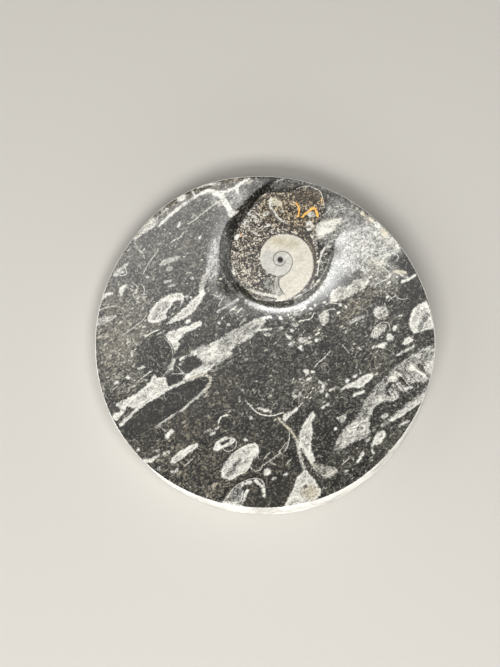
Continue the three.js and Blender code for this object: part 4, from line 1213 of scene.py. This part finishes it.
# colours laid over one another: the mask, its share, and the colour it lays on
coats = [
    ("groundCloud", 0.12, "groundLight"),
    ("streaks", 0.35, "streakColour"),
    # darker ground, and painted shade on the mesa's flank left of the ammonite
    ("dim", 0.55, "groundDark"),
    ("smallBits", 0.7, "smallBitsColour"),
    ("largeBits", 0.8, "largeBitsColour"),
    ("threads", 0.55, "smallBitsColour"),
    ("hairlines", 0.38, "largeBitsColour"),
    ("wholeShells", 1, "wholeShellsColour"),
    ("darkEdge", 0.6, "groundDark"),
    # painted highlight: the pale haze and its threads, laid on as colour
    ("paintedSheenGrain", 0.68, "paintedSheenWhite"),
    ("paintedSheenThreads", 0.8, "lineWhite"),
    ("mudArea", 1, "mudColour"),
    ("shellArea", 1, "shellColour"),
    ("thinLine", 0.9, "lineWhite"),
    # dark seams, and painted shadow lines by the ammonite's shell
    ("seamLine", 0.85, "seamBrown"),
    # the ammonite's black middle, and painted shade on its upper left flank
    ("core", 1, "groundDark"),
    ("oxide", 1, "ironOxide"),
    ("sawn", 0.4, "sawnGrey"),
    ("wall", 1, "wallColour"),
]
blends = [
    ("mudColour", "MULTIPLY", "warm", "mudRamp", "mudBrown"),
    ("shellColour", "MULTIPLY", "cream", "shellRamp", "creamTint"),
    ("streakColour", "MIX", "warm", "groundStreak", "groundBrown"),
    ("wallColour", "MIX", "wallGrime", "wallPale", "wallDull"),
    ("colour", "MIX", "groundGrain", "groundDark", "groundLight"),
]
for name in stoneLook["bits"]:
    blends.append((name + "Colour", "MIX", name + "Tone", "bitDull", "bitBright"))
    blends.append((name + "Colour", "MIX", "warm", name + "Colour", "bitWarm"))
for mask, share, over in coats:
    steps.append((mask + "Coat", "MULTIPLY", mask, share))
    blends.append(("colour", "MIX", mask + "Coat", "colour", over))

for name, action, *values in steps:
    values = [signal[value] if isinstance(value, str) else value for value in values]
    if action == "MIX":
        signal[name] = addNode(tree, "ShaderNodeMix", dict(zip((0, 2, 3), values)))
    elif action in ("RANGE", "SMOOTH"):
        ends = dict(zip(("Value", "From Min", "From Max", "To Min", "To Max"), values))
        curve = "LINEAR" if action == "RANGE" else "SMOOTHSTEP"
        signal[name] = addNode(tree, "ShaderNodeMapRange", ends, interpolation_type=curve)
    else:
        signal[name] = addNode(tree, "ShaderNodeMath", dict(enumerate(values)), operation=action)
for name, stops in stoneLook["ramps"].items():
    ramp = addNode(tree, "ShaderNodeValToRGB", {0: signal[name + "Tone"]})
    elements = ramp.node.color_ramp.elements
    elements.remove(elements[1])
    for index, (place, code) in enumerate(stops):
        element = elements[0] if index == 0 else elements.new(place)
        element.position = place
        element.color = srgb(code)
    signal[name + "Ramp"] = ramp
for name, blend, share, under, over in blends:
    signal[name] = addNode(tree, "ShaderNodeMix", {
        0: signal[share], 6: signal[under], 7: signal[over],
    }, data_type="RGBA", blend_type=blend, result=2)
bump = addNode(tree, "ShaderNodeBump", {"Height": signal["relief"], "Strength": 1, "Distance": 0.001})
tree.links.new(signal["colour"], shader.inputs["Base Color"])
tree.links.new(signal["roughness"], shader.inputs["Roughness"])
tree.links.new(bump, shader.inputs["Normal"])
shader.inputs["IOR"].default_value = stoneLook["ior"]
mesh.materials.append(material)
print("material made:", len(tree.nodes), "nodes")

plateObject = bpy.data.objects.new("fossilPlateStone", mesh)
bpy.context.scene.collection.objects.link(plateObject)
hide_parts("fossil_plate")
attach(plateObject, "root")
print("plate placed")

# Pale board with matt paint: gives the eye an even ground without glare.
floorSettings = {"halfWidth": 1.5, "colour": "#94918b", "roughness": 0.85}
floorShape = bmesh.new()
bmesh.ops.create_grid(floorShape, x_segments=1, y_segments=1, size=floorSettings["halfWidth"])
floorMesh = bpy.data.meshes.new("studioFloor")
floorShape.to_mesh(floorMesh)
floorShape.free()
floor = bpy.data.objects.new("studioFloor", floorMesh)
bpy.context.scene.collection.objects.link(floor)
floorMaterial = bpy.data.materials.new("paleBoardMattPainted")
floorMaterial.use_nodes = True
floorShader = floorMaterial.node_tree.nodes["Principled BSDF"]
floorShader.inputs["Base Color"].default_value = srgb(floorSettings["colour"])
floorShader.inputs["Roughness"].default_value = floorSettings["roughness"]
floorMesh.materials.append(floorMaterial)

# soft light: an even pale surround and five broad lamps, each set by its lean
# towards +X and +Y in degrees, its two widths in metres and its glow
light = {
    "surround": 0.09,
    "surroundColour": "#f2f4f6",
    "distance": 1.0,
    "lamps": {
        "keyLamp": {"lean": (15, -9), "size": (0.20, 0.34), "glow": 29},
        "frontLamp": {"lean": (-5, -30), "size": (0.58, 0.27), "glow": 26.6},
        "overheadLamp": {"lean": (-8, -1), "size": (0.62, 0.13), "glow": 4.2},
        "rimLamp": {"lean": (8, -68), "size": (1.0, 0.25), "glow": 5},
        "sideLamp": {"lean": (-62, -8), "size": (1.0, 1.0), "glow": 2.5},
    },
}


def facingDown(back):
    # turns a camera or lamp to look against "back", with its own Y towards +Y
    upwards = (Vector((0, 1, 0)) - back * back.y).normalized()
    return Matrix((upwards.cross(back), upwards, back)).transposed().to_quaternion()


def leaning(leanX, leanY):
    # unit vector off vertical by so many degrees towards +X and +Y
    return Vector((math.tan(math.radians(leanX)), math.tan(math.radians(leanY)), 1)).normalized()


world = bpy.data.worlds.new("paleSurround")
world.use_nodes = True
world.node_tree.nodes["Background"].inputs["Color"].default_value = srgb(light["surroundColour"])
world.node_tree.nodes["Background"].inputs["Strength"].default_value = light["surround"]
bpy.context.scene.world = world
for name, lampSet in light["lamps"].items():
    lampData = bpy.data.lights.new(name, "AREA")
    lampData.shape = "RECTANGLE"
    lampData.size, lampData.size_y = lampSet["size"]
    lampData.energy = lampSet["glow"] * math.pi * lampData.size * lampData.size_y
    lamp = bpy.data.objects.new(name, lampData)
    lamp.location = leaning(*lampSet["lean"]) * light["distance"]
    lamp.rotation_mode = "QUATERNION"
    lamp.rotation_quaternion = facingDown(lamp.location.normalized())
    bpy.context.scene.collection.objects.link(lamp)

# metres, degrees towards +X and +Y, and millimetres of lens over sensor
camera = {
    "distance": 0.450,
    "lean": (2.64, -8.08),
    "look": (-0.00506, 0.00278, 0.015),
    "lens": 69.05,
    "sensor": 36,
    "clipStart": 0.01,
}
cameraData = bpy.data.cameras.new("studioCamera")
cameraData.lens = camera["lens"]
cameraData.sensor_width = camera["sensor"]
cameraData.clip_start = camera["clipStart"]
cameraObject = bpy.data.objects.new("studioCamera", cameraData)
back = leaning(*camera["lean"])
cameraObject.rotation_mode = "QUATERNION"
cameraObject.rotation_quaternion = facingDown(back)
cameraObject.location = Vector(camera["look"]) + back * camera["distance"]
bpy.context.scene.collection.objects.link(cameraObject)
bpy.context.scene.camera = cameraObject
bpy.context.scene.view_settings.view_transform = "Standard"
print("camera and light set")
